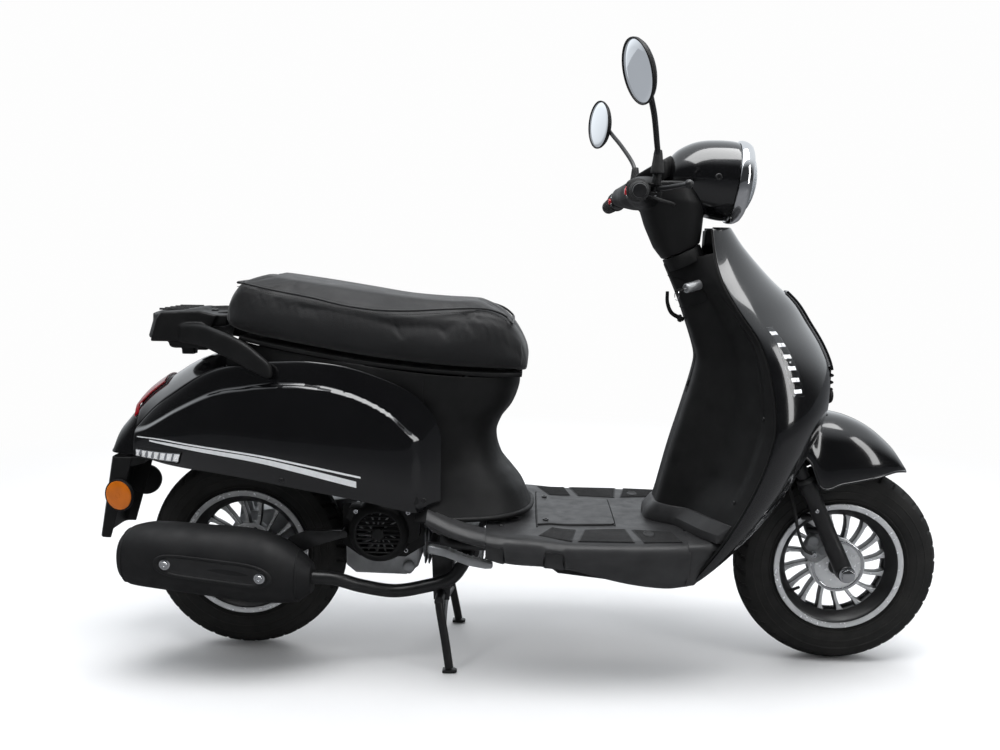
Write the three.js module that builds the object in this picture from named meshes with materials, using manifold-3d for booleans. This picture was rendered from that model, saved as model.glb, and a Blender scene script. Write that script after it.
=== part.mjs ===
// A retro 50 cc moped scooter: step-through frame, leg shield, swinging engine unit,
// ten-inch wheels, centre stand. Millimetres, +X forward, +Y to the rider's left, +Z up,
// ground at Z 0, origin on the ground under the middle of the overall length.
import * as THREE from "three";
import { mergeVertices } from "three/addons/utils/BufferGeometryUtils.js";
import Module from "manifold-3d";

const wasm = await Module();
wasm.setup();

// Driving dimensions.
const FRONT_AXLE = [695, 0, 216];
const REAR_AXLE = [-592, 0, 219];
const TYRE_R = 216;
const TYRE_HALF = 45;
const RIM_R = 139;
const STEER_TOP = [347, 0, 900];
const RAKE = THREE.MathUtils.degToRad(25);
const LEG_Y = 76;
const FLOOR_Z = 314;
const HANGER = [-165, 0, 318];
const STAND_PIVOT = [-160, 0, 145];
const SHOCK_TOP = [-575, 92, 575];
const SHOCK_LOW = [-622, 92, 318];
const GRIP_OUT = [210, 330, 989];
const GRIP_IN = [224, 160, 1001];
const MIRROR_BOOT = [258, 190, 1046];
const LAMP = [437, 0, 1029];
const LAMP_TILT = THREE.MathUtils.degToRad(7.6);
const GAP = 0.6;
const UNDER_SEAT = 11;

const steerUp = new THREE.Vector3(-Math.sin(RAKE), 0, Math.cos(RAKE));
const V = (x, y, z) => new THREE.Vector3(x, y, z);
const vec = (p) => new THREE.Vector3(p[0], p[1], p[2]);
const onAxis = (z) => V(STEER_TOP[0] + (STEER_TOP[2] - z) * Math.tan(RAKE), 0, z);

// Smooth curve through [position, value] pairs, held at its end values.
function curve(pairs) {
  const slope = pairs.map((p, i) => {
    const a = pairs[Math.max(i - 1, 0)];
    const b = pairs[Math.min(i + 1, pairs.length - 1)];
    return (b[1] - a[1]) / (b[0] - a[0]);
  });
  return (x) => {
    if (x <= pairs[0][0]) return pairs[0][1];
    if (x >= pairs[pairs.length - 1][0]) return pairs[pairs.length - 1][1];
    let i = 0;
    while (x > pairs[i + 1][0]) i += 1;
    const h = pairs[i + 1][0] - pairs[i][0];
    const t = (x - pairs[i][0]) / h;
    const cubic = 2 * t ** 3 - 3 * t ** 2;
    return (
      pairs[i][1] * (cubic + 1) -
      pairs[i + 1][1] * cubic +
      h * slope[i] * (t ** 3 - 2 * t ** 2 + t) +
      h * slope[i + 1] * (t ** 3 - t ** 2)
    );
  };
}

// A three.js geometry as a solid, faces out.
function solid(geometry) {
  const bare = geometry.clone();
  bare.deleteAttribute("normal");
  bare.deleteAttribute("uv");
  const merged = mergeVertices(bare, 1e-3);
  const at = merged.attributes.position;
  const corners = new Uint32Array(merged.index.array);
  let volume = 0;
  for (let i = 0; i < corners.length; i += 3) {
    const [a, b, c] = [0, 1, 2].map((k) => new THREE.Vector3().fromBufferAttribute(at, corners[i + k]));
    volume += a.dot(b.cross(c));
  }
  for (let i = 0; volume < 0 && i < corners.length; i += 3) {
    [corners[i + 1], corners[i + 2]] = [corners[i + 2], corners[i + 1]];
  }
  return new wasm.Manifold(
    new wasm.Mesh({ numProp: 3, vertProperties: new Float32Array(at.array), triVerts: corners }),
  );
}

const join = (first, ...rest) => rest.reduce((sum, piece) => sum.add(piece), first);
const cut = (first, ...rest) => rest.reduce((sum, piece) => sum.subtract(piece), first);
const moved = (geometry, p) => solid(geometry.translate(p[0], p[1], p[2]));

function triangles(faces) {
  const at = new Float32Array(faces.flat().flatMap((p) => [p.x, p.y, p.z]));
  const geometry = new THREE.BufferGeometry();
  geometry.setAttribute("position", new THREE.BufferAttribute(at, 3));
  return solid(geometry);
}

// A thin panel: the surface through a grid of points, thickened along its normals.
function sheet(rows, thickness) {
  const last = rows.length - 1;
  const side = rows[0].length - 1;
  const back = rows.map((row, i) =>
    row.map((p, j) => {
      const down = rows[Math.min(i + 1, last)][j].clone().sub(rows[Math.max(i - 1, 0)][j]);
      const over = row[Math.min(j + 1, side)].clone().sub(row[Math.max(j - 1, 0)]);
      return p.clone().addScaledVector(down.cross(over).normalize(), thickness);
    }),
  );
  const faces = [];
  const quad = (a, b, c, d) => faces.push([a, b, c], [a, c, d]);
  for (let i = 0; i < last; i += 1) {
    for (let j = 0; j < side; j += 1) {
      quad(rows[i][j], rows[i + 1][j], rows[i + 1][j + 1], rows[i][j + 1]);
      quad(back[i][j], back[i][j + 1], back[i + 1][j + 1], back[i + 1][j]);
    }
    quad(rows[i][0], back[i][0], back[i + 1][0], rows[i + 1][0]);
    quad(rows[i][side], rows[i + 1][side], back[i + 1][side], back[i][side]);
  }
  for (let j = 0; j < side; j += 1) {
    quad(rows[0][j], rows[0][j + 1], back[0][j + 1], back[0][j]);
    quad(rows[last][j], back[last][j], back[last][j + 1], rows[last][j + 1]);
  }
  return triangles(faces);
}

// A closed body skinned through rings of points, with flat ends.
function loft(rings) {
  const count = rings[0].length;
  const faces = [];
  rings.slice(1).forEach((ring, i) => {
    for (let j = 0; j < count; j += 1) {
      const k = (j + 1) % count;
      faces.push([rings[i][j], rings[i][k], ring[k]], [rings[i][j], ring[k], ring[j]]);
    }
  });
  [rings[0], rings[rings.length - 1]].forEach((ring, end) => {
    const middle = ring.reduce((sum, p) => sum.add(p), V(0, 0, 0)).divideScalar(count);
    for (let j = 0; j < count; j += 1) {
      const k = (j + 1) % count;
      faces.push(end ? [middle, ring[j], ring[k]] : [middle, ring[k], ring[j]]);
    }
  });
  return triangles(faces);
}

// A rounded ring: half sizes a and b in the plane of the unit vectors across and up.
function ring(centre, across, up, a, b, power = 2, count = 16) {
  return Array.from({ length: count }, (_, i) => {
    const t = (2 * Math.PI * (i + 0.5)) / count;
    const c = Math.sign(Math.cos(t)) * Math.abs(Math.cos(t)) ** (2 / power);
    const s = Math.sign(Math.sin(t)) * Math.abs(Math.sin(t)) ** (2 / power);
    return centre.clone().addScaledVector(across, a * c).addScaledVector(up, b * s);
  });
}

const X = V(1, 0, 0);
const Y = V(0, 1, 0);
const Z = V(0, 0, 1);

function box(x0, x1, y0, y1, z0, z1) {
  return moved(
    new THREE.BoxGeometry(x1 - x0, y1 - y0, z1 - z0),
    [(x0 + x1) / 2, (y0 + y1) / 2, (z0 + z1) / 2],
  );
}

// An outline of [x, z] points pushed from y0 to y1.
function side(points, y0, y1) {
  const shape = new THREE.Shape(points.map(([x, z]) => new THREE.Vector2(x, z)));
  const geometry = new THREE.ExtrudeGeometry(shape, { depth: y1 - y0, bevelEnabled: false });
  return solid(geometry.rotateX(Math.PI / 2).translate(0, y1, 0));
}

// An outline of [x, y] points pushed from z0 to z1.
function plan(points, z0, z1) {
  const shape = new THREE.Shape(points.map(([x, y]) => new THREE.Vector2(x, y)));
  return solid(
    new THREE.ExtrudeGeometry(shape, { depth: z1 - z0, bevelEnabled: false }).translate(0, 0, z0),
  );
}

// A round bar between two points.
function rod(a, b, radius, sides = 12, end = radius) {
  const [from, to] = [vec(a), vec(b)];
  const way = to.clone().sub(from);
  const geometry = new THREE.CylinderGeometry(end, radius, way.length(), sides);
  const turn = new THREE.Quaternion().setFromUnitVectors(Y, way.clone().normalize());
  const middle = from.add(to).multiplyScalar(0.5);
  return solid(geometry.applyQuaternion(turn).translate(middle.x, middle.y, middle.z));
}

// A bent tube through points.
function tube(points, radius, steps, sides = 10, tension = 0.5) {
  const path = new THREE.CatmullRomCurve3(points.map(vec), false, "catmullrom", tension);
  const section = new THREE.Shape();
  for (let i = 0; i < sides; i += 1) {
    const t = (2 * Math.PI * i) / sides;
    if (i === 0) section.moveTo(radius, 0);
    else section.lineTo(radius * Math.cos(t), radius * Math.sin(t));
  }
  return solid(new THREE.ExtrudeGeometry(section, { steps, extrudePath: path, bevelEnabled: false }));
}

// A turned body: [radius, distance] profile about the line from origin along way.
function turned(profile, origin, way, segments = 24) {
  const geometry = new THREE.LatheGeometry(
    profile.map(([r, d]) => new THREE.Vector2(r, d)),
    segments,
  );
  const turn = new THREE.Quaternion().setFromUnitVectors(Y, way.clone().normalize());
  return solid(geometry.applyQuaternion(turn).translate(...origin));
}

const loop = (profile) => [...profile, profile[0]];

const scooter = new THREE.Group();
const chassis = new THREE.Group();
const steering = new THREE.Group();
const engine = new THREE.Group();
scooter.add(chassis, steering, engine);

function part(group, name, shape, color, roughness, metalness) {
  const mesh = shape.getMesh();
  const at = new Float32Array(mesh.numVert * 3);
  for (let i = 0; i < mesh.numVert; i += 1) {
    at.set(mesh.vertProperties.subarray(i * mesh.numProp, i * mesh.numProp + 3), i * 3);
  }
  const geometry = new THREE.BufferGeometry();
  geometry.setAttribute("position", new THREE.BufferAttribute(at, 3));
  geometry.setIndex(new THREE.BufferAttribute(mesh.triVerts, 1));
  geometry.computeVertexNormals();
  const material = new THREE.MeshStandardMaterial({ color, roughness, metalness });
  const made = new THREE.Mesh(geometry, material);
  made.name = name;
  group.add(made);
}
const gloss = [0x0a0a0c, 0.12, 0.1];
const satin = [0x17181a, 0.55, 0];
const dark = [0x101012, 0.5, 0.2];
const castings = [0x9c9fa3, 0.45, 0.9];
const bright = [0xd8dadc, 0.15, 1];
const rubber = [0x141414, 0.85, 0];
const clear = [0xe8ecef, 0.08, 0];

// Main frame: head tube, down tube, floor rails, risers, seat rails, brackets.
{
  const head = rod(onAxis(690).toArray(), onAxis(852).toArray(), 25, 12);
  const bore = rod(onAxis(600).toArray(), onAxis(950).toArray(), 17, 12);
  const down = tube([[452, 0, 712], [428, 0, 560], [404, 0, 400], [380, 0, 300], [338, 0, 262]], 20, 6, 8);
  const rails = [1, -1].map((s) =>
    tube(
      [
        [338, 90 * s, 262],
        [-110, 90 * s, 262],
        [-152, 102 * s, 276],
        [-170, 112 * s, 325],
        [-170, 112 * s, 545],
        [-192, 118 * s, 588],
        [-250, 122 * s, 602],
        [-560, 122 * s, 600],
        [-700, 92 * s, 576],
      ],
      11,
      17,
      6,
      0.35,
    ),
  );
  const cross = [[338, 262, 92], [-60, 262, 92], [-170, 368, 112], [-690, 578, 95]].map(([x, z, y]) =>
    rod([x, -y, z], [x, y, z], 10, 6),
  );
  const hanger = [1, -1].map((s) =>
    side(
      [[-182, 372], [-158, 372], [-150, 318], [-158, 302], [-172, 302], [-180, 318]],
      54 * s - 4,
      54 * s + 4,
    ),
  );
  const pin = rod([HANGER[0], -60, HANGER[2]], [HANGER[0], 60, HANGER[2]], 7, 10);
  const standEars = [1, -1].map((s) =>
    cut(
      join(
        side([[-182, 270], [-130, 270], [-142, 132], [-176, 132]], 66 * s - 4, 66 * s + 4),
        rod([-136, 62 * s, 262], [-136, 94 * s, 262], 9, 8),
      ),
      rod([STAND_PIVOT[0], 50 * s, STAND_PIVOT[2]], [STAND_PIVOT[0], 80 * s, STAND_PIVOT[2]], 10.6, 12),
    ),
  );
  const pegArms = [1, -1].map((s) => rod([-166, 108 * s, 290], [-166, 176 * s, 284], 9, 8));
  const shockEars = join(
    side([[-590, 604], [-560, 604], [-563, 566], [-587, 566]], 105, 109),
    rod([SHOCK_TOP[0], 78, SHOCK_TOP[2]], [SHOCK_TOP[0], 107, SHOCK_TOP[2]], 5.5, 8),
  );
  const seatHinge = join(
    rod([-34, -58, 606], [-34, 58, 606], 6, 8),
    ...[1, -1].map(
      (s) => tube(
        [[-170, 112 * s, 548], [-128, 110 * s, 584], [-80, 84 * s, 603], [-34, 52 * s, 606]],
        8,
        4,
        6,
      ),
    ),
  );
  const tank = [1, -1].map((s) => rod([-540, 60 * s, 600], [-540, 118 * s, 600], 6, 8));
  part(
    chassis,
    "main_frame",
    join(
      cut(join(head, down), bore), ...rails, ...cross, ...hanger, pin, ...standEars, ...pegArms,
      shockEars, seatHinge, ...tank,
    ),
    ...dark,
  );
}

// Floor pan with its side skirts, open under the seat.
const floorTop = curve([[-178, 362], [-119, 340], [-51, 326], [38, 320], [110, FLOOR_Z], [345, FLOOR_Z]]);
const floorLow = curve([
  [-178, 338], [-160, 316], [-100, 290], [-26, 264], [94, 255], [221, 227], [300, 217], [345, 219],
]);
const floorHalf = curve([
  [-178, 206], [-119, 222], [-51, 232], [38, 236], [217, 236], [300, 230], [345, 221],
]);
{
  const rows = [-178, -119, -51, -10, 38, 74, 110, 165, 221, 283, 345].map((x) => {
    const [t, b, h] = [x >= 110 ? FLOOR_Z : floorTop(x), floorLow(x), floorHalf(x)];
    const half = [
      [40, t], [h - 50, t], [h - 18, t - 2], [h - 4, t - 11], [h - 1, t - 24],
      [h - 26, Math.min(b, t - 30)],
    ];
    return [
      ...[...half].reverse().map(([y, z]) => V(x, -y, z)),
      ...half.map(([y, z]) => V(x, y, z)),
    ];
  });
  const shell = sheet(rows, -4);
  part(chassis, "floorboard", cut(shell, box(-260, -62, -181, 181, 200, 400)), ...satin);
}
part(
  chassis,
  "floor_hatch",
  side([[0, 323.5], [78, 320.2], [78, 323.6], [0, 326.9]], -104, 104),
  ...satin,
);
{
  const rows = [[60, 226, 216], [90, 204, 214], [200, 192, 200], [300, 184, 190], [352, 196, 196]].map(
    ([x, z], i) => {
      const top = [244, 240, 222, 214, 224][i];
      return [
        V(x, -112, top), V(x, -104, z + 8), V(x, -84, z), V(x, 84, z), V(x, 104, z + 8),
        V(x, 112, top),
      ];
    },
  );
  part(chassis, "belly_pan", sheet(rows, 3), ...satin);
}

// Front apron: centre line, rear seam and half width by height, and the arch over the wheel.
const apronFront = curve([
  [229, 430], [310, 508], [400, 583], [473, 617], [535, 643], [574, 653], [641, 652],
  [690, 633], [738, 603], [781, 574], [829, 523], [892, 466], [933, 437],
]);
const apronEdge = curve([
  [229, 352], [330, 417], [430, 468], [520, 497], [572, 500], [655, 488], [711, 470],
  [768, 435], [816, 411], [866, 399], [933, 394],
]);
const apronHalf = curve([
  [229, 200], [314, 220], [400, 223], [500, 220], [572, 212], [655, 190], [711, 168],
  [768, 138], [816, 108], [866, 76], [933, 42],
]);
const apronArch = curve([
  [0, 569], [0.28, 566], [0.42, 556], [0.52, 534], [0.59, 500],
  [0.7, 431], [0.805, 347], [0.87, 300], [1, 229],
]);
function apronPoint(u, z, out = 0) {
  const bulge = (1 - Math.min(Math.abs(u), 1) ** 1.75) ** (1 / 1.75);
  const [e, f, w] = [apronEdge(z), apronFront(z), apronHalf(z)];
  return V(e + (f - e) * bulge + out * bulge, u * (w + out), z);
}
{
  const across = [-1, -0.975, -0.92, -0.82, -0.68, -0.5, -0.26, 0, 0.26, 0.5, 0.68, 0.82, 0.92, 0.975, 1];
  const rows = [0, 0.08, 0.18, 0.29, 0.4, 0.52, 0.64, 0.76, 0.88, 1].map((v) =>
    across.map((u) => apronPoint(u, 933 + (apronArch(Math.abs(u)) - 933) * v)),
  );
  part(chassis, "front_apron", sheet(rows, 4), ...gloss);
  const strip = (s) =>
    sheet(
      [738, 705, 672, 640, 606].map((z, i) =>
        [
          0.915 - i * 0.006, 0.94 - i * 0.006, 0.965 - i * 0.004, 0.985 - i * 0.003,
        ].map((u) => apronPoint(u * s, z, 7)),
      ),
      4 * s,
    );
  part(chassis, "front_light_right", strip(-1), ...clear);
  part(chassis, "front_light_left", strip(1), ...clear);
  const tie = sheet(
    [800, 760, 720, 680, 640].map(
      (z, i) => [-0.11, -0.04, 0.04, 0.11].map((u) => apronPoint(u * (1 + i * 0.08), z, 8.5)),
    ),
    5,
  );
  const louvres = [628, 612, 598].map((z) => box(660.5, 668, -20, 20, z - 4, z + 4));
  const horn = rod([660.5, 0, 582], [674, 0, 580], 17, 12, 10);
  part(chassis, "apron_trim", join(tie, box(660, 664, -14, 14, 572, 646), ...louvres, horn), ...gloss);
}

// Inner leg shield: a central tunnel with hollow wings out to the apron's seam.
const tunnelRear = curve([
  [318, 290], [345, 297], [375, 305], [469, 328], [568, 356],
  [649, 376], [676, 375], [755, 348], [800, 330], [870, 298],
]);
{
  const across = [0, 0.18, 0.3, 0.38, 0.5, 0.75, 1];
  const shape = (s, z) => {
    const [r, e] = [tunnelRear(z), apronEdge(z) - 2.5];
    return r + (e - r) * [0, 0.02, 0.2, 0.42, 0.56, 0.76, 1][s];
  };
  const rows = [0, 0.08, 0.18, 0.3, 0.42, 0.55, 0.68, 0.8, 0.9, 1].map((v) => {
    const half = across.map((u, s) => {
      const top = 851 + 31 * u ** 0.8;
      const z = top + (319 - top) * v;
      return V(shape(s, z), u * (apronHalf(z) - 2), z);
    });
    return [...half.slice(1).reverse().map((p) => V(p.x, -p.y, p.z)), ...half];
  });
  const key = [V(352, -62, 812), V(-0.86, -0.46, -0.22).normalize()];
  const hole = rod(
    key[0].clone().addScaledVector(key[1], -60).toArray(),
    key[0].clone().addScaledVector(key[1], 60).toArray(),
    10.6,
    16,
  );
  part(chassis, "inner_leg_shield", cut(sheet(rows, 3.5), hole), ...satin);
  const barrel = rod(
    key[0].clone().addScaledVector(key[1], -22).toArray(),
    key[0].clone().addScaledVector(key[1], 15).toArray(),
    10,
    16,
  );
  const bow = rod(
    key[0].clone().addScaledVector(key[1], 15).toArray(),
    key[0].clone().addScaledVector(key[1], 38).toArray(),
    8,
    6,
  );
  part(chassis, "ignition_key", join(barrel, bow), ...bright);
}
part(
  chassis,
  "bag_hook",
  join(
    tube([[350, 0, 742], [341, 0, 744], [323, 0, 755], [314, 0, 776], [313, 0, 800]], 4, 8, 8),
    box(334, 342, -9, 9, 737, 749),
  ).intersect(box(290, 344.5, -20, 20, 700, 830)),
  ...satin,
);

// Side panels: upper edge, lower edge and how far out each line stands.
const panelTop = curve([
  [-815, 497], [-772, 538], [-728, 571], [-636, 626], [-546, 648], [-457, 655], [-418, 655], [-354, 648],
  [-290, 631], [-225, 604], [-182, 570], [-160, 535], [-153, 505],
]);
const panelLow = curve([
  [-815, 466], [-735, 439], [-625, 418], [-536, 402], [-448, 388], [-355, 377], [-300, 371],
  [-250, 364], [-208, 357], [-190, 357], [-174, 380], [-153, 436],
]);
const panelIn = curve([
  [-815, 62], [-728, 98], [-636, 124], [-546, 142], [-457, 152], [-354, 160], [-225, 168], [-153, 166],
]);
const panelOut = curve([
  [-815, 76], [-728, 126], [-636, 160], [-546, 182], [-457, 194], [-354, 198], [-225, 192], [-153, 170],
]);

// Seat lines: half width, top and lower edge along its length.
const seatHalf = curve([
  [-600, 112], [-588, 136], [-560, 152], [-480, 161], [-400, 162], [-320, 160], [-240, 156],
  [-160, 152], [-90, 146], [-45, 138], [-15, 127], [8, 104], [20, 74],
]);
const seatTop = curve([
  [-600, 794], [-588, 816], [-560, 825], [-480, 816], [-400, 806], [-320, 794], [-240, 782],
  [-160, 776], [-90, 773], [-45, 765], [-15, 743], [8, 706], [20, 668],
]);
const seatLow = curve([
  [-600, 727], [-588, 715], [-556, 703], [-493, 690], [-408, 675], [-323, 661], [-238, 650],
  [-154, 642], [-69, 637], [-15, 635], [8, 632], [20, 632],
]);

// Seat cowl: a rounded front, and side walls that run back under the seat.
const cowlHalf = curve([[332, 176], [382, 152], [442, 133], [492, 130], [560, 138], [620, 148]]);
const cowlFront = curve([
  [332, 30], [345, 24], [382, 8], [407, -11], [442, -38], [492, -50], [530, -38],
  [560, -16], [596, -2], [620, 0],
]);
const wallLow = curve([
  [-597, 114], [-552, 131], [-500, 138], [-430, 143], [-300, 150], [-212, 143], [-190, 143],
]);
const wallHigh = curve([[-597, 111], [-552, 131], [-500, 140], [-212, 147.6], [-190, 147.6]]);
{
  const angles = Array.from({ length: 13 }, (_, i) => (-90 + (i * 180) / 12) * (Math.PI / 180));
  const rows = [620, 596, 556, 520, 480, 440, 410, 380, 356, 333].map((z, i) =>
    angles.map((t) => {
      const c = Math.abs(Math.cos(t)) ** (2 / 2.5);
      const s = Math.sign(Math.sin(t)) * Math.abs(Math.sin(t)) ** (2 / 2.5);
      const x = -205 + (cowlFront(z) + 205) * c;
      return V(x, cowlHalf(z) * s, i ? z : seatLow(x) - UNDER_SEAT);
    }),
  );
  const walls = [1, -1].map((s) =>
    sheet(
      [-190, -212, -250, -300, -360, -420, -480, -520, -552, -576, -597].map((x) => [
        V(x, s * wallLow(x), panelTop(x) - 12),
        V(x, s * wallHigh(x), seatLow(x) - UNDER_SEAT),
      ]),
      3.5 * s,
    ),
  );
  part(chassis, "seat_cowl", join(sheet(rows, 3.5), ...walls), ...satin);
}

// Luggage bucket under the seat.
{
  const outline = (x0, x1, y, r) => {
    const shape = new THREE.Shape();
    shape.moveTo(x0 + r, -y).lineTo(x1 - r, -y).quadraticCurveTo(x1, -y, x1, -y + r);
    shape.lineTo(x1, y - r).quadraticCurveTo(x1, y, x1 - r, y).lineTo(x0 + r, y);
    shape.quadraticCurveTo(x0, y, x0, y - r).lineTo(x0, -y + r).quadraticCurveTo(x0, -y, x0 + r, -y);
    return shape;
  };
  const tub = (x0, x1, y, r, z0, z1) =>
    solid(
      new THREE.ExtrudeGeometry(
        outline(x0, x1, y, r),
        { depth: z1 - z0, bevelEnabled: false, curveSegments: 4 },
      ).translate(0, 0, z0),
    );
  part(
    chassis,
    "luggage_bucket",
    cut(
      join(tub(-388, -126, 97, 34, 438, 616), tub(-392, -122, 100, 34, 611, 616)),
      tub(-385, -129, 94, 31, 441, 700),
      ...[1, -1].map((s) => rod([-170, 112 * s, 400], [-170, 112 * s, 640], 12.5, 10)),
    ),
    ...satin,
  );
  part(
    chassis,
    "fuel_tank",
    cut(tub(-655, -430, 68, 26, 510, 590), box(-600, -545, 66, 90, 500, 600)),
    ...dark,
  );
}

// Side panels, one sheet a side.
{
  const stations = [
    -815, -772, -728, -682, -636, -590, -546, -500, -457, -405, -354, -300, -252, -215, -190, -174,
    -153,
  ];
  const panel = (s) =>
    sheet(
      stations.map((x) =>
        [0, 0.08, 0.2, 0.36, 0.55, 0.78, 1].map((v) => {
          const lift = panelIn(x) + (panelOut(x) - panelIn(x)) * Math.sin(
            Math.min(v * 1.25, 1) * (Math.PI / 2),
          ) ** 0.9;
          const tuck = v > 0.8 ? (v - 0.8) * 30 : 0;
          return V(x, s * (lift - tuck), panelTop(x) + (panelLow(x) - panelTop(x)) * v);
        }),
      ),
      -3.5 * s,
    );
  part(chassis, "side_panel_right", panel(-1), ...gloss);
  part(chassis, "side_panel_left", panel(1), ...gloss);
}

// Tail cowl: a crowned deck between the panels that turns down behind the wheel.
const tailCrown = curve([
  [-882, 438], [-868, 478], [-846, 507], [-800, 561], [-748, 600], [-682, 640], [-600, 664],
]);
const tailHalf = curve([
  [-882, 34], [-868, 50], [-846, 57], [-812, 58], [-795, 64], [-728, 98], [-636, 124], [-600, 131],
]);
function tailPoint(x, u, out = 0) {
  const low = x < -815 ? 437 : panelTop(x) - 1;
  const drop = (tailCrown(x) - low) * Math.abs(u) ** 2.4;
  return V(x - out * 0.6, u * (tailHalf(x) - 4), tailCrown(x) - drop + out);
}
{
  const across = [-1, -0.9, -0.7, -0.4, 0, 0.4, 0.7, 0.9, 1];
  const rows = [-600, -640, -682, -715, -748, -775, -800, -822, -846, -862, -876, -882].map((x) =>
    across.map((u) => tailPoint(x, u)),
  );
  part(chassis, "tail_cowl", sheet(rows, -3.5), ...gloss);
  const lens = [-752, -772, -792, -810, -826].map((x) =>
    [-0.56, -0.35, 0, 0.35, 0.56].map((u) => tailPoint(x, u, 8)),
  );
  part(chassis, "tail_light", sheet(lens, -5), 0xb01018, 0.15, 0);
}

// Rear mudguard with its flat plate holder.
{
  const rows = [0, 0.5, 1].map((v) => {
    const [x, z] = [-868 - 32 * v, 432 - 178 * v];
    const deep = 44 - 22 * v;
    return [
      V(x + deep, -64, z), V(x + 6, -64, z), V(x, -54, z), V(x, 54, z), V(x + 6, 64, z),
      V(x + deep, 64, z),
    ];
  });
  const hood = side(
    [[-846, 431], [-828, 412], [-800, 420], [-788, 470], [-808, 470], [-814, 432]],
    -66,
    66,
  );
  part(chassis, "rear_mudguard", join(sheet(rows, -4), hood), ...satin);
}

// Rear rack: a plate with a raised rear lip and two grab arms that reach the panels.
{
  const deck = plan(
    [
      [-752, -88], [-640, -106], [-640, -40], [-652, 0], [-640, 40], [-640, 106], [-752, 88],
      [-776, 48], [-786, 0], [-776, -48],
    ],
    712,
    728,
  );
  const lipLine = [[-800, 700], [-778, 744], [-752, 747], [-742, 728], [-742, 708], [-786, 692]];
  const lip = loft(
    [-92, -62, -31, 0, 31, 62, 92].map((y) =>
      lipLine.map(([x, z]) => V(x + 4 + 34 * (y / 92) ** 2, y, z)),
    ),
  );
  const keel = side(
    [[-734, 713], [-730, 676], [-722, 671], [-658, 671], [-648, 680], [-640, 713]],
    -86,
    86,
  );
  const armLine = [
    [-700, 92, 704, 14, 20], [-650, 114, 702, 13, 23], [-611, 138, 692, 12, 24], [-572, 154, 679, 11, 25],
    [-540, 164, 664, 11, 25], [-500, 171, 640, 9, 18],
  ];
  const arms = [1, -1].map((s) =>
    loft(armLine.map(([x, y, z, a, b]) => ring(V(x, y * s, z), Y, Z, a, b, 3.5, 12))),
  );
  const feet = [1, -1].map((s) => box(-716, -688, 40 * s - 12, 40 * s + 12, 643, 690));
  part(chassis, "rear_rack", join(deck, lip, keel, ...arms, ...feet), ...satin);
}

// Seat: a soft cushion on a moulded pan, hinged at the front.
{
  const stations = [-600, -588, -560, -480, -400, -320, -240, -160, -90, -45, -15, 8, 20];
  const cushion = loft(
    stations.map((x) => {
      const [t, b] = [seatTop(x), seatLow(x)];
      return ring(V(x, 0, (t + b) / 2), Y, Z, seatHalf(x), (t - b) / 2, 4.2, 16);
    }),
  );
  part(chassis, "seat_cushion", cushion, 0x1b1b1c, 0.75, 0);
  const pan = sheet(
    [-560, -480, -400, -320, -240, -160, -90, -45, -15, 8].map((x) => {
      const [w, z] = [seatHalf(x) - 12, seatLow(x) - 1.2];
      return [V(x, -w, z), V(x, 0, z), V(x, w, z)];
    }),
    -8,
  );
  part(chassis, "seat_pan", pan, ...satin);
}

// Steered front end.
{
  const leg = (s, d) => vec(FRONT_AXLE).addScaledVector(steerUp, d).add(V(0, LEG_Y * s, 0)).toArray();
  const crownZ = 560;
  const stem = join(
    rod(onAxis(crownZ - 8).toArray(), onAxis(978).toArray(), 15, 14),
    rod(onAxis(crownZ - 24).toArray(), onAxis(crownZ + 24).toArray(), 28, 12),
  );
  const bridge = loft(
    [1, -1].map(
      (s) => ring(vec(leg(s, 378)), X.clone().applyAxisAngle(Y, -RAKE), steerUp, 20, 13, 4, 12),
    ),
  );
  const web = loft([onAxis(crownZ + 4), vec(leg(0, 378))].map((at) => ring(at, Y, steerUp, 52, 12, 4, 12)));
  const stanchions = [1, -1].map((s) => rod(leg(s, 108), leg(s, 392), 13.5, 12));
  const tongue = box(500, 612, -16, 16, 540, 546);
  part(steering, "fork_stem", join(stem, bridge, web, ...stanchions, tongue), ...dark);
  const slider = (s) =>
    cut(
      join(
        rod(leg(s, -6), leg(s, 214), 18.5, 12),
        rod(leg(s, 192), leg(s, 216), 20, 12),
        rod(
          [FRONT_AXLE[0], (LEG_Y - 18) * s, FRONT_AXLE[2]],
          [FRONT_AXLE[0], (LEG_Y + 20) * s, FRONT_AXLE[2]],
          18,
          12,
        ),
      ),
      rod(leg(s, 42), leg(s, 230), 14.4, 12),
      rod([FRONT_AXLE[0], 40 * s, FRONT_AXLE[2]], [FRONT_AXLE[0], 130 * s, FRONT_AXLE[2]], 8.8, 10),
    );
  const lugs = [96, 128].map((d) => {
    const p = leg(-1, d);
    return rod([p[0] - 8, p[1] + 8, p[2]], [p[0] - 34, p[1] + 24, p[2] - 4], 7, 8);
  });
  part(
    steering,
    "fork_slider_right",
    cut(join(slider(-1), ...lugs), rod(leg(-1, 42), leg(-1, 230), 14.4, 12)),
    ...dark,
  );
  part(steering, "fork_slider_left", slider(1), ...dark);
  part(
    steering,
    "front_axle",
    join(
      rod([FRONT_AXLE[0], -104, FRONT_AXLE[2]], [FRONT_AXLE[0], 104, FRONT_AXLE[2]], 8, 10),
      rod([FRONT_AXLE[0], -107, FRONT_AXLE[2]], [FRONT_AXLE[0], -97, FRONT_AXLE[2]], 14, 6),
      rod([FRONT_AXLE[0], 97, FRONT_AXLE[2]], [FRONT_AXLE[0], 107, FRONT_AXLE[2]], 14, 6),
    ),
    ...bright,
  );
  const caliper = cut(
    side([[640, 300], [654, 294], [676, 264], [664, 241], [640, 226], [613, 244], [618, 272]], -56, -26),
    side([[560, 200], [760, 200], [760, 330], [648, 272], [636, 240]], -38.5, -29),
    ...lugs,
    rod(leg(-1, 30), leg(-1, 230), 20, 10),
  );
  part(steering, "brake_caliper", caliper, 0x8c8f94, 0.4, 0.85);
}

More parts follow.
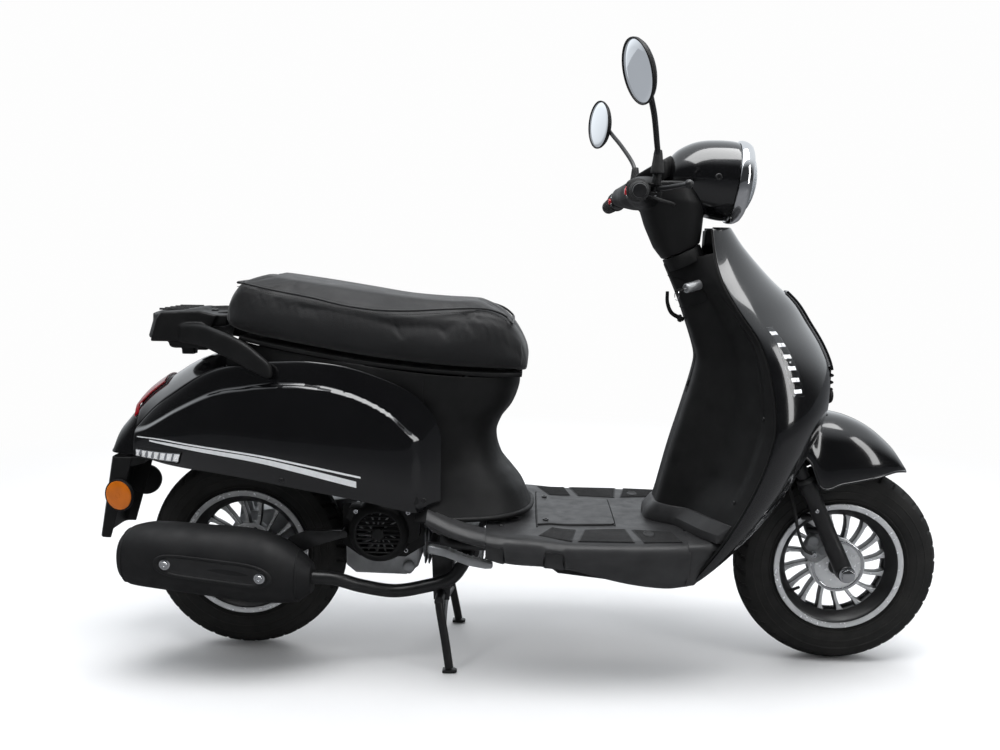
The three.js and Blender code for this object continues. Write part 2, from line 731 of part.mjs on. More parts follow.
// Front mudguard: crown line, lower edge and half width along its length.
{
  const crown = curve([
    [580, 552], [610, 555], [650, 551], [701, 541], [748, 519], [793, 481], [812, 456], [826, 436],
  ]);
  const low = curve([
    [580, 474], [605, 455], [630, 402], [674, 411], [748, 424], [790, 432], [812, 430], [826, 426],
  ]);
  const half = curve([[580, 101], [650, 101], [701, 98], [748, 88], [793, 68], [812, 54], [826, 38]]);
  const rows = [580, 605, 630, 665, 701, 735, 765, 793, 812, 826].map((x) =>
    Array.from({ length: 11 }, (_, i) => {
      const t = (i / 10) * Math.PI;
      const c = -Math.cos(t);
      const flat = Math.sign(c) * Math.abs(c) ** (2 / 2.6);
      return V(x, half(x) * flat, low(x) + (crown(x) - low(x)) * Math.sin(t) ** (2 / 2.2));
    }),
  );
  part(steering, "front_fender", sheet(rows, -3.5), ...gloss);
}

// Wheels.
const tyreHalf = [[129, 26], [129, 34.6], [143, 35], [151, 43], [172, TYRE_HALF], [203, 38], [TYRE_R, 14]];
const tyreInner = [[206, 12], [188, 33], [152, 33]];
const flip = (points) => points.map(([r, y]) => [r, -y]).reverse();
const tyreLoop = loop([...tyreHalf, ...flip(tyreHalf), ...flip(tyreInner), ...tyreInner]);
function tyre() {
  return turned(tyreLoop, [0, 0, 0], Y, 22);
}
function rim(hubHalf, bore) {
  const lip = [[RIM_R - 1, 41.5], [RIM_R - 1, 35.4], [128.4, 35], [113, 14]];
  const under = [[108, 14], [122, 41.5]];
  const ringLoop = loop([...lip, ...flip(lip), ...flip(under), ...under]);
  const band = turned(ringLoop, [0, 0, 0], Y, 22);
  const hub = turned(
    loop([[bore, hubHalf], [30, hubHalf], [36, 12], [36, -12], [30, -hubHalf], [bore, -hubHalf]]),
    [0, 0, 0],
    Y,
    12,
  );
  const spokes = Array.from({ length: 16 }, (_, i) => {
    const spoke = [[32, 0, 5], [70, 9, 4], [111, 24, 4.5]];
    const point = ([r, deg, w], s) => {
      const t = THREE.MathUtils.degToRad(deg + i * 22.5) + (s * w) / r;
      return [r * Math.cos(t), r * Math.sin(t)];
    };
    return side(
      [...spoke.map((p) => point(p, -1)), ...[...spoke].reverse().map((p) => point(p, 1))],
      -9,
      9,
    );
  });
  return join(band, hub, ...spokes);
}
const frontWheel = new THREE.Group();
frontWheel.position.set(...FRONT_AXLE);
steering.add(frontWheel);
part(frontWheel, "front_tyre", tyre(), ...rubber);
part(frontWheel, "front_rim", rim(26, 8.6), ...dark);
part(
  frontWheel,
  "brake_disc",
  turned(loop([[20, -26.6], [20, -35], [58, -35], [58, -32], [34, -32], [34, -26.6]]), [0, 0, 0], Y, 20),
  ...bright,
);
const rearWheel = new THREE.Group();
rearWheel.position.set(...REAR_AXLE);
engine.add(rearWheel);
part(rearWheel, "rear_tyre", tyre(), ...rubber);
part(rearWheel, "rear_rim", rim(34, 12.6), ...dark);

// Handlebar, its covers and controls. Everything here is for the straight-ahead position.
const barWay = (s) => V(
  GRIP_OUT[0] - GRIP_IN[0], (GRIP_OUT[1] - GRIP_IN[1]) * s, GRIP_OUT[2] - GRIP_IN[2],
).normalize();
const barAt = (s, d) => V(GRIP_IN[0], GRIP_IN[1] * s, GRIP_IN[2]).addScaledVector(barWay(s), d);
const barSpan = (s, d0, d1, r, sides = 14) => rod(barAt(s, d0).toArray(), barAt(s, d1).toArray(), r, sides);
{
  const bend = (s) =>
    tube(
      [[301, 0, 1000], [288, 40 * s, 1001], [252, 108 * s, 1001], barAt(s, 0).toArray()],
      11,
      5,
      10,
      0.4,
    );
  const clamp = rod(onAxis(980.5).toArray(), onAxis(1014).toArray(), 19, 12);
  part(
    steering,
    "handlebar",
    join(clamp, ...[1, -1].flatMap((s) => [bend(s), barSpan(s, -2, 160, 11, 10)])),
    ...dark,
  );

  const lampWay = V(Math.cos(LAMP_TILT), 0, -Math.sin(LAMP_TILT));
  const bucket = [[0, -141], [30, -133], [54, -114], [71, -84], [79, -50], [82, -20], [81, 0]];
  const bucketIn = [[78, 0], [79, -20], [76, -50], [68, -82], [51, -111], [28, -129], [0, -137]];
  const bucketHull = turned(
    [...bucket.map(([r, d]) => [r ? r + GAP : 0, d - (r ? 0 : GAP)]), [0, 0]],
    LAMP,
    lampWay,
    20,
  );
  const column = (grow) =>
    loft(
      [
        [884, 338, 42, 45, 25], [908, 329, 52, 55, 18], [945, 320, 61, 68, 8],
        [985, 312, 68, 80, 0], [1026, 300, 58, 78, 0],
      ].map(([z, x, a, b, tilt], i) => {
        const lean = X.clone().applyAxisAngle(Y, -THREE.MathUtils.degToRad(tilt));
        const sink = grow && !i ? 12 : 0;
        return ring(
          V(x + sink * 0.4, 0, z - sink - (grow && i === 4 ? 4 : 0)),
          lean,
          Y,
          a - grow,
          b - grow,
          2.4,
          12,
        );
      },
      ),
    );
  const pod = (grow) =>
    loft(
      [
        [-148, 24, 22], [-110, 30, 27], [-60, 40, 33], [0, 46, 36], [60, 40, 33], [110, 30, 27],
        [148, 24, 22],
      ].map(([y, a, b]) =>
        ring(
          V(224 + 46 * (1 - Math.abs(y) / 148), y * (grow ? 0.97 : 1), 1003),
          X,
          Z,
          a - grow,
          b - grow,
          2.4,
          10,
        ),
      ),
    );
  const clusterWay = V(-0.5, 0, 0.866).normalize();
  const clusterAt = [286, 0, 1040];
  const cluster = turned(
    [[0, -12], [36, -12], [42, 14], [42, 20], [38, 24], [0, 27]],
    clusterAt,
    clusterWay,
    18,
  );
  const clusterHull = turned([[0, -13], [37, -13], [43, 14], [43, 40], [0, 40]], clusterAt, clusterWay, 16);
  const barHoles = [1, -1].map((s) =>
    join(
      tube(
        [[301, 0, 1000], [288, 40 * s, 1001], [252, 108 * s, 1001], barAt(s, 0).toArray()],
        12.6,
        5,
        8,
        0.4,
      ),
      barSpan(s, -6, 40, 12.6, 8),
    ),
  );
  const shellCover = cut(
    join(column(0), pod(0)),
    join(column(4), pod(4)),
    bucketHull,
    clusterHull,
    ...barHoles,
    rod(onAxis(800).toArray(), onAxis(1016).toArray(), 22, 14),
  );
  const biggest = shellCover.decompose().sort((a, b) => b.volume() - a.volume())[0];
  part(steering, "handlebar_cover", biggest, ...satin);
  const lampShell = turned([...bucket, ...bucketIn], LAMP, lampWay, 20);
  const stemWay = rod(onAxis(930).toArray(), onAxis(1020).toArray(), 24, 12);
  part(steering, "headlight_shell", cut(lampShell, stemWay, ...barHoles), ...gloss);
  part(
    steering,
    "headlight_bezel",
    turned(
      loop([[74, 1], [84, 1], [86, 8], [83, 20], [74, 29], [66.5, 31], [66.5, 26], [74, 22]]),
      LAMP,
      lampWay,
      20,
    ),
    ...bright,
  );
  part(
    steering,
    "headlight_lens",
    turned(
      [
        [0, 50], [26, 47.5], [46, 41], [60, 31], [65.6, 20], [61.6, 20], [56, 29], [44, 37.5],
        [25, 43.5], [0, 46],
      ],
      LAMP,
      lampWay,
      20,
    ),
    ...clear,
  );
  part(steering, "instrument_cluster", cut(cluster, bucketHull), ...dark);
}
for (const s of [1, -1]) {
  const hand = s > 0 ? "left" : "right";
  const sleeve = cut(
    join(
      barSpan(s, 4, 44, 19, 14),
      box(224, 262, s > 0 ? 174 : -198, s > 0 ? 198 : -174, 990, 1011),
      rod(
        [MIRROR_BOOT[0] - 2, MIRROR_BOOT[1] * s, 1006],
        [MIRROR_BOOT[0], MIRROR_BOOT[1] * s, 1029],
        9,
        10,
      ),
      box(204, 226, s > 0 ? 168 : -200, s > 0 ? 200 : -168, 984, 1008),
    ),
    barSpan(s, -20, 80, 11.5),
    box(246, 300, s > 0 ? 160 : -215, s > 0 ? 215 : -160, 995, 1007),
    rod([190, 184 * s, 996], [212.5, 184 * s, 996], 7.2, 12),
  );
  const pivot = [256, 186 * s];
  const pin = rod([pivot[0], pivot[1], 990.5], [pivot[0], pivot[1], 1010.5], 3, 8);
  part(steering, `switch_${hand}`, join(sleeve, pin), ...satin);
  part(
    steering,
    s > 0 ? "horn_button" : "starter_button",
    rod([198, 184 * s, 996], [208, 184 * s, 996], 6.4, 10),
    0xc01820,
    0.35,
    0,
  );
  const lever = cut(
    join(
      rod([pivot[0], pivot[1], 996], [pivot[0], pivot[1], 1006], 9, 10),
      tube(
        [[258, 188 * s, 1001], [276, 218 * s, 1001.5], [294, 260 * s, 1003], [300, 300 * s, 1003]],
        4.6,
        6,
        6,
      ),
      moved(new THREE.SphereGeometry(8, 8, 6), [300, 302 * s, 1003]),
    ),
    rod([pivot[0], pivot[1], 980], [pivot[0], pivot[1], 1020], 3.5, 10),
  );
  part(steering, `brake_lever_${hand}`, lever, ...dark);
  const grip = turned(
    loop([[11.6, 0], [22, 0], [22, 4], [16, 7], [15, 20], [16.6, 60], [16, 108], [13, 116], [11.6, 116]]),
    barAt(s, 52).toArray(),
    barWay(s),
    16,
  );
  part(steering, s > 0 ? "left_grip" : "throttle_grip", grip, ...rubber);
  const back = s > 0 ? 14 : 0;
  const stemLine = [
    [258, 190, 1031], [257.5, 193, 1062], [252, 212, 1088],
    [240 - back * 0.6, 258, 1128], [226 - back, 300, 1160],
  ];
  const stem = tube(
    stemLine.map(([x, y, z]) => [x, y * s, z]),
    s > 0 ? 4.8 : 5.5,
    8,
    7,
  );
  const boot = rod([258, 190 * s, 1030.6], [258, 192 * s, 1072], 12, 10, 8);
  const glassWay = (s > 0 ? V(-0.93, -0.36, 0) : V(-0.9, -0.28, -0.28)).normalize();
  const head = turned(
    [[0, -13], [30, -11], [50, -4], [57, 5], [57, 9], [53, 9], [52, 6], [0, 6]].reverse(),
    [204 - back, 352 * s, 1189],
    glassWay,
    18,
  );
  const hub = V(204 - back, 352 * s, 1189).addScaledVector(glassWay, -9);
  const link = rod([226 - back, 300 * s, 1160], hub.toArray(), s > 0 ? 5.2 : 6, 8);
  part(steering, `mirror_${hand}`, join(stem, boot, head, link), ...dark);
}

// Swinging engine unit.
{
  const oblong = (x0, z0, r0, x1, z1, r1) => {
    const points = [];
    for (let i = 0; i <= 8; i += 1) {
      const t = Math.PI / 2 + (i / 8) * Math.PI;
      points.push([x1 + r1 * Math.cos(t), z1 + r1 * Math.sin(t)]);
    }
    for (let i = 0; i <= 8; i += 1) {
      const t = -Math.PI / 2 + (i / 8) * Math.PI;
      points.push([x0 + r0 * Math.cos(t), z0 + r0 * Math.sin(t)]);
    }
    return points;
  };
  const caseBody = side(oblong(-300, 262, 70, -592, 219, 66), 58, 132);
  const caseRib = side(oblong(-300, 262, 60, -592, 219, 54), 131, 139);
  const lugLine = [[-640, 250], [-600, 260], [-612, 316], [-622, 328], [-632, 316]];
  const lug = join(
    side(lugLine, 104, 112),
    rod([SHOCK_LOW[0], 80, SHOCK_LOW[2]], [SHOCK_LOW[0], 108, SHOCK_LOW[2]], 5, 8),
    side(lugLine, 72, 80.5),
  );
  const shaft = rod([REAR_AXLE[0], -44, REAR_AXLE[2]], [REAR_AXLE[0], 60, REAR_AXLE[2]], 12, 14);
  const nut = rod([REAR_AXLE[0], -52, REAR_AXLE[2]], [REAR_AXLE[0], -35, REAR_AXLE[2]], 17, 6);
  const kickBoss = rod([-330, 137, 214], [-330, 146, 214], 14, 12);
  part(engine, "cvt_cover", join(caseBody, caseRib, lug, shaft, nut, kickBoss), ...castings);
  const block = side(
    [
      [-360, 214], [-340, 197], [-232, 195], [-206, 214], [-204, 330], [-226, 346], [-340, 340],
      [-360, 318],
    ],
    -94,
    57.4,
  );
  const boss = join(
    rod([HANGER[0], -48, HANGER[2]], [HANGER[0], 48, HANGER[2]], 17, 14),
    side([[-210, 300], [-168, 302], [-168, 333], [-210, 338]], -46, 46),
  );
  part(
    engine,
    "crankcase",
    cut(join(block, boss), rod([HANGER[0], -60, HANGER[2]], [HANGER[0], 60, HANGER[2]], 7.5, 12)),
    ...castings,
  );
  const fins = [-190, -176, -162, -148, -134].map((x) => box(x, x + 4, -47, 47, 200, 282));
  const barrel = rod([-203.4, 0, 240], [-120, 0, 240], 34, 14);
  const headBlock = side(
    [[-122, 204], [-84, 208], [-74, 222], [-74, 262], [-84, 274], [-122, 278]],
    -46,
    46,
  );
  part(engine, "cylinder", join(barrel, headBlock, ...fins), ...castings);
  const fan = turned(
    [[0, 0], [66, 0], [66, 30], [58, 52], [50, 60], [0, 62]],
    [-283, -94.6, 300],
    V(0, -1, 0),
    20,
  );
  const scoop = side(
    [[-352, 330], [-345, 352], [-205, 352], [-196, 330], [-200, 290], [-250, 262]],
    -140,
    -94.6,
  );
  part(engine, "fan_cover", join(fan, scoop), ...satin);
  const can = loft(
    [
      [-808, 253, 20, 18], [-800, 253, 44, 38], [-778, 255, 60, 52], [-735, 256, 67, 59], [-628, 247, 71, 61],
      [-535, 238, 73, 61], [-480, 229, 66, 56], [-440, 218, 51, 44], [-414, 214, 30, 28],
    ].map(([x, z, h, w]) => ring(V(x, -176, z), Y, Z, w, h, 2.3, 14)),
  );
  const pipe = tube(
    [
      [-425, -172, 214], [-372, -158, 206], [-318, -138, 184], [-254, -118, 168],
      [-192, -110, 176], [-140, -102, 190],
      [-116, -94, 214], [-107, -78, 232], [-104, -53, 240],
    ],
    14,
    14,
    8,
  );
  const stay = side(
    [[-500, 250], [-470, 286], [-430, 300], [-356, 300], [-350, 288], [-420, 266], [-470, 240]],
    -138,
    -118,
  );
  const stayArm = rod([-357, -96, 294], [-357, -122, 294], 8, 8);
  part(engine, "exhaust", join(can, pipe, join(stay, stayArm)), ...satin);
  const kick = join(
    rod([-330, 146.5, 214], [-330, 162, 214], 15, 12),
    tube([[-330, 156, 214], [-380, 160, 226], [-440, 162, 238], [-472, 162, 240]], 7, 6, 8),
    rod([-474, 156, 240], [-474, 200, 240], 8, 8),
  );
  part(engine, "kick_lever", kick, ...dark);
}

// Rear shock absorber: damper body above, rod below.
{
  const [top, low] = [vec(SHOCK_TOP), vec(SHOCK_LOW)];
  const way = low.clone().sub(top).normalize();
  const at = (d) => top.clone().addScaledVector(way, d).toArray();
  const eye = (p, r, bore) =>
    cut(
      rod([p[0], 81, p[2]], [p[0], 103, p[2]], r, 14),
      rod([p[0], 70, p[2]], [p[0], 110, p[2]], bore, 12),
    );
  const eyeAt = (d, r, bore) => eye(at(d), r, bore);
  const length = top.distanceTo(low);
  part(
    chassis,
    "shock_damper",
    cut(
      join(rod(at(24), at(152), 16, 14), rod(at(8), at(26), 9, 8), eyeAt(0, 13, 6.3)),
      rod(at(34), at(160), 6.6, 12),
      rod([top.x, 70, top.z], [top.x, 110, top.z], 6.3, 12),
    ),
    ...dark,
  );
  part(
    chassis,
    "shock_rod",
    cut(
      join(
        rod(at(102), at(length - 8), 6, 12),
        rod(at(length - 30), at(length - 22), 22, 14),
        eyeAt(length, 12, 6.5),
      ),
      rod([low.x, 70, low.z], [low.x, 110, low.z], 6.5, 12),
    ),
    ...bright,
  );
}

// Centre stand and folding pegs.
{
  const legs = [1, -1].map((s) =>
    join(
      tube([[-160, 108 * s, 145], [-158, 116 * s, 128], [-146, 126 * s, 66], [-136, 136 * s, 8]], 9, 5, 7),
      box(-160, -112, s > 0 ? 124 : -148, s > 0 ? 148 : -124, 0, 6),
    ),
  );
  const bar = rod([STAND_PIVOT[0], -118, STAND_PIVOT[2]], [STAND_PIVOT[0], 118, STAND_PIVOT[2]], 10, 14);
  const brace = tube([[-151, -122, 90], [-156, 0, 104], [-151, 122, 90]], 7, 5, 6);
  part(chassis, "center_stand", join(bar, ...legs, brace), ...dark);
  for (const s of [1, -1]) {
    const peg = loft(
      [
        [-176, 284, 5, 7], [-166, 284, 10, 9], [-140, 279, 12, 9], [-96, 262, 11, 9],
        [-46, 254, 9, 7],
      ].map(([x, z, a, b]) =>
        ring(V(x, 189 * s, z), Y, Z, a, b, 4, 12),
      ),
    );
    part(chassis, s > 0 ? "footpeg_left" : "footpeg_right", peg, ...castings);
  }
}

export default scooter;
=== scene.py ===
"""A retro moped scooter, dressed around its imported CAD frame. Lengths in this file are
millimetres in the CAD frame (+X forward, +Y to the rider's left, +Z up, ground at 0)
and become metres when a mesh is made."""

import math

import bmesh
import bpy
from mathutils import Matrix, Vector


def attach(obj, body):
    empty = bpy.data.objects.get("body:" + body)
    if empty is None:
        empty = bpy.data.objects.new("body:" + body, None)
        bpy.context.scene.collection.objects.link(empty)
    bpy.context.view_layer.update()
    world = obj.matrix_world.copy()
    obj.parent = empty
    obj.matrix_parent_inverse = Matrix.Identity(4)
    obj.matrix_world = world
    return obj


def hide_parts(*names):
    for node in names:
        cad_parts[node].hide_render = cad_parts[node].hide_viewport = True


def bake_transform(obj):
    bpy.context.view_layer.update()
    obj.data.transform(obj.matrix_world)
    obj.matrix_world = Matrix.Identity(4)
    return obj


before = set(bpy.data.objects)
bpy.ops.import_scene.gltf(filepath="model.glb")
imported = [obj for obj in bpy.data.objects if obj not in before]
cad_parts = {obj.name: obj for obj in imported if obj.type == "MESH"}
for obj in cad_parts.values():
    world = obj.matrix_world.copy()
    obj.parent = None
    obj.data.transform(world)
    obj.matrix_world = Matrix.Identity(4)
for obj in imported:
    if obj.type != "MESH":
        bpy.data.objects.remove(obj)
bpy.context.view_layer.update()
MM = 0.001

# Driving dimensions, as in the CAD.
FRONT_AXLE = (695, 0, 216)
REAR_AXLE = (-592, 0, 219)
TYRE_R = 216
COIL_RADIUS = 21.5
RAKE = math.radians(25)
STEER_UP = Vector((-math.sin(RAKE), 0, math.cos(RAKE)))
LEG_Y = 76
FLOOR_Z = 314
SHOCK_TOP = Vector((-575, 92, 575))
SHOCK_LOW = Vector((-622, 92, 318))
GRIP_OUT = (210, 330, 989)
GRIP_IN = (224, 160, 1001)
LAMP = (437, 0, 1029)
LAMP_WAY = Vector((math.cos(math.radians(7.6)), 0, -math.sin(math.radians(7.6))))
X = Vector((1, 0, 0))
Y = Vector((0, 1, 0))
Z = Vector((0, 0, 1))


def V(x, y, z):
    return Vector((x, y, z))


def on_axis(z):
    return V(347 + (900 - z) * math.tan(RAKE), 0, z)


def leg(side, along):
    return Vector(FRONT_AXLE) + STEER_UP * along + V(0, LEG_Y * side, 0)


# ---------------------------------------------------------------- curves and shells


def curve(pairs):
    """A smooth curve through (position, value) pairs, held at its end values."""
    last = len(pairs) - 1
    slope = []
    for i in range(last + 1):
        a, b = pairs[max(i - 1, 0)], pairs[min(i + 1, last)]
        slope.append((b[1] - a[1]) / (b[0] - a[0]))

    def value(x):
        if x <= pairs[0][0]:
            return pairs[0][1]
        if x >= pairs[last][0]:
            return pairs[last][1]
        i = 0
        while x > pairs[i + 1][0]:
            i += 1
        h = pairs[i + 1][0] - pairs[i][0]
        t = (x - pairs[i][0]) / h
        cubic = 2 * t**3 - 3 * t**2
        ends = pairs[i][1] * (cubic + 1) - pairs[i + 1][1] * cubic
        bend = slope[i] * (t**3 - 2 * t**2 + t) + slope[i + 1] * (t**3 - t**2)
        return ends + h * bend

    return value


def spread(low, high, count):
    return [low + (high - low) * i / (count - 1) for i in range(count)]


def smooth_step(low, high, x):
    t = min(max((x - low) / (high - low), 0), 1)
    return t * t * (3 - 2 * t)


def spline(points, count, closed=False):
    """Points along a smooth line through the given points."""
    p = [Vector(q) for q in points]
    spans = len(p) if closed else len(p) - 1
    made = []
    for n in range(count):
        at = spans * n / (count if closed else count - 1)
        i = min(int(at), spans - 1)
        t = at - i
        if closed:
            a, b, c, d = (p[(i + k) % len(p)] for k in (-1, 0, 1, 2))
        else:
            b, c = p[i], p[i + 1]
            a = p[i - 1] if i else b * 2 - c
            d = p[i + 2] if i + 2 < len(p) else c * 2 - b
        cubic = (a * -1 + b * 3 - c * 3 + d) * t**3 + (a * 2 - b * 5 + c * 4 - d) * t**2
        made.append((b * 2 + (c - a) * t + cubic) * 0.5)
    return made


def sheet(rows, thickness):
    """A panel through a grid of points, thickened along its normals."""
    last, side = len(rows) - 1, len(rows[0]) - 1
    points = [p for row in rows for p in row]
    width = side + 1
    back = []
    for i, row in enumerate(rows):
        for j, p in enumerate(row):
            down = rows[min(i + 1, last)][j] - rows[max(i - 1, 0)][j]
            over = row[min(j + 1, side)] - row[max(j - 1, 0)]
            back.append(p + down.cross(over).normalized() * thickness)
    n = len(points)
    faces = []
    for i in range(last):
        for j in range(side):
            a, b = i * width + j, (i + 1) * width + j
            faces.append((a, b, b + 1, a + 1))
            faces.append((n + a, n + a + 1, n + b + 1, n + b))
        a, b = i * width, (i + 1) * width
        faces.append((a, n + a, n + b, b))
        a, b = a + side, b + side
        faces.append((a, b, n + b, n + a))
    for j in range(side):
        a, b = j, last * width + j
        faces.append((a, a + 1, n + a + 1, n + a))
        faces.append((b, n + b, n + b + 1, b + 1))
    return points + back, faces


def loft(rings, closed=False):
    """A body skinned through rings, with flat ends unless it closes on itself."""
    count = len(rings[0])
    points = [p for r in rings for p in r]
    faces = []
    spans = len(rings) if closed else len(rings) - 1
    for i in range(spans):
        a, b = i * count, ((i + 1) % len(rings)) * count
        for j in range(count):
            k = (j + 1) % count
            faces.append((a + j, a + k, b + k, b + j))
    if not closed:
        end = (len(rings) - 1) * count
        faces.append(tuple(range(count - 1, -1, -1)))
        faces.append(tuple(range(end, end + count)))
    return points, faces


def ring(centre, across, up, a, b, power=2.0, count=48):
    made = []
    for i in range(count):
        t = 2 * math.pi * (i + 0.5) / count
        c = math.copysign(abs(math.cos(t)) ** (2 / power), math.cos(t))
        s = math.copysign(abs(math.sin(t)) ** (2 / power), math.sin(t))
        made.append(Vector(centre) + across * (a * c) + up * (b * s))
    return made


def tube(points, radius, steps=48, sides=20, closed=False, smooth=True):
    """A round bar along a line; radius is a number or a function of 0 to 1."""
    line = spline(points, steps, closed) if smooth else [Vector(p) for p in points]
    size = radius if callable(radius) else lambda t: radius
    ways = []
    for i in range(len(line)):
        a = line[i - 1] if i or closed else line[i]
        b = line[(i + 1) % len(line)] if i + 1 < len(line) or closed else line[i]
        ways.append((b - a).normalized())
    side = ways[0].orthogonal().normalized()
    rings = []
    for i, (p, way) in enumerate(zip(line, ways)):
        side = (side - way * side.dot(way)).normalized()
        r = size(i / max(len(line) - 1, 1))
        rings.append(ring(p, side, way.cross(side), r, r, 2, sides))
    return loft(rings, closed)


def rod(a, b, radius, end=None, sides=28):
    a, b = Vector(a), Vector(b)
    way = (b - a).normalized()
    side = way.orthogonal().normalized()
    up = way.cross(side)
    end = radius if end is None else end
    return loft([ring(a, side, up, radius, radius, 2, sides), ring(b, side, up, end, end, 2, sides)])


def turned(profile, origin, way, segments=72):
    """A turned body: (radius, distance) profile about the line from origin along way.
    A profile that starts and ends on the axis closes there, any other closes on itself."""
    way = Vector(way).normalized()
    side = way.orthogonal().normalized()
    up = way.cross(side)
    points, faces, index = [], [], []
    for r, d in profile:
        centre = Vector(origin) + way * d
        if r < 1e-6:
            index.append([len(points)] * segments)
            points.append(centre)
            continue
        index.append(list(range(len(points), len(points) + segments)))
        for i in range(segments):
            t = 2 * math.pi * i / segments
            points.append(centre + side * (r * math.cos(t)) + up * (r * math.sin(t)))
    on_axis_ends = profile[0][0] < 1e-6 and profile[-1][0] < 1e-6
    spans = len(profile) - 1 if on_axis_ends else len(profile)
    for i in range(spans):
        a, b = index[i], index[(i + 1) % len(profile)]
        for j in range(segments):
            k = (j + 1) % segments
            face = list(dict.fromkeys((a[j], a[k], b[k], b[j])))
            if len(face) > 2:
                faces.append(tuple(face))
    return points, faces


def side(points, y0, y1):
    """An outline of (x, z) points pushed from y0 to y1."""
    return loft([[V(x, y, z) for x, z in points] for y in (y0, y1)])


def plan(points, z0, z1):
    """An outline of (x, y) points pushed from z0 to z1."""
    return loft([[V(x, y, z) for x, y in points] for z in (z0, z1)])


def box(x0, x1, y0, y1, z0, z1):
    return plan([(x0, y0), (x1, y0), (x1, y1), (x0, y1)], z0, z1)


def mirrored(shell):
    return [V(p.x, -p.y, p.z) for p in shell[0]], [tuple(reversed(f)) for f in shell[1]]


def bolt(centre, way, radius, height):
    """A socket-head screw: domed rim and a six-sided well."""
    way = Vector(way).normalized()
    start = way.orthogonal().normalized()
    up = way.cross(start)
    rings = []
    outline = [(radius, 0, 2), (radius, height * 0.75, 2), (radius * 0.86, height, 2),
               (radius * 0.5, height, 6)]
    for r, d, corners in outline + [(radius * 0.5, height * 0.45, 6)]:
        centre_at = Vector(centre) + way * d
        made = []
        for i in range(24):
            t = 2 * math.pi * i / 24
            reach = r
            if corners == 6:
                reach = r * math.cos(math.pi / 6) / math.cos((t % (math.pi / 3)) - math.pi / 6)
            made.append(centre_at + start * (reach * math.cos(t)) + up * (reach * math.sin(t)))
        rings.append(made)
    return loft(rings)


# ---------------------------------------------------------------- making pieces


def piece(name, shells, material, body, replaces=(), bevel=0.7, angle=38, segments=2):
    """Joins shells into one smooth mesh with softened edges and rides it on a body."""
    mesh = bmesh.new()
    for points, faces in shells:
        made = [mesh.verts.new(Vector(p) * MM) for p in points]
        for face in faces:
            mesh.faces.new([made[i] for i in face])
    bmesh.ops.remove_doubles(mesh, verts=mesh.verts, dist=1e-6)
    bmesh.ops.recalc_face_normals(mesh, faces=mesh.faces)
    if bevel:
        sharp = [e for e in mesh.edges if e.is_manifold and e.calc_face_angle(0) > math.radians(angle)]
        bmesh.ops.bevel(
            mesh,
            geom=sharp,
            offset=bevel * MM,
            segments=segments,
            profile=0.5,
            affect="EDGES",
            clamp_overlap=True,
        )
    data = bpy.data.meshes.new(name)
    mesh.to_mesh(data)
    mesh.free()
    return finished(name, data, material, body, replaces)


def finished(name, data, material, body, replaces=(), sharp=40):
    data.polygons.foreach_set("use_smooth", [True] * len(data.polygons))
    data.set_sharp_from_angle(angle=math.radians(sharp))
    made = bpy.data.objects.new(name, data)
    bpy.context.scene.collection.objects.link(made)
    data.materials.append(material)
    if body:
        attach(made, body)
    if replaces:
        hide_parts(*replaces)
    return made


def fused(shells, voxel=2.5, smoothing=12):
    """One moulded skin over overlapping shells, as (points, faces)."""
    mesh = bmesh.new()
    for points, faces in shells:
        made = [mesh.verts.new(Vector(p) * MM) for p in points]
        for face in faces:
            mesh.faces.new([made[i] for i in face])
    bmesh.ops.recalc_face_normals(mesh, faces=mesh.faces)
    data = bpy.data.meshes.new("fusing")
    mesh.to_mesh(data)
    mesh.free()
    made = bpy.data.objects.new("fusing", data)
    bpy.context.scene.collection.objects.link(made)
    remesh = made.modifiers.new("remesh", "REMESH")
    remesh.mode = "VOXEL"
    remesh.voxel_size = voxel * MM
    soften = made.modifiers.new("soften", "SMOOTH")
    soften.iterations = smoothing
    soften.factor = 0.5
    result = bpy.data.meshes.new_from_object(made.evaluated_get(bpy.context.evaluated_depsgraph_get()))
    points = [v.co / MM for v in result.vertices]
    faces = [tuple(p.vertices) for p in result.polygons]
    bpy.data.objects.remove(made)
    bpy.data.meshes.remove(result)
    return points, faces


# ---------------------------------------------------------------- materials


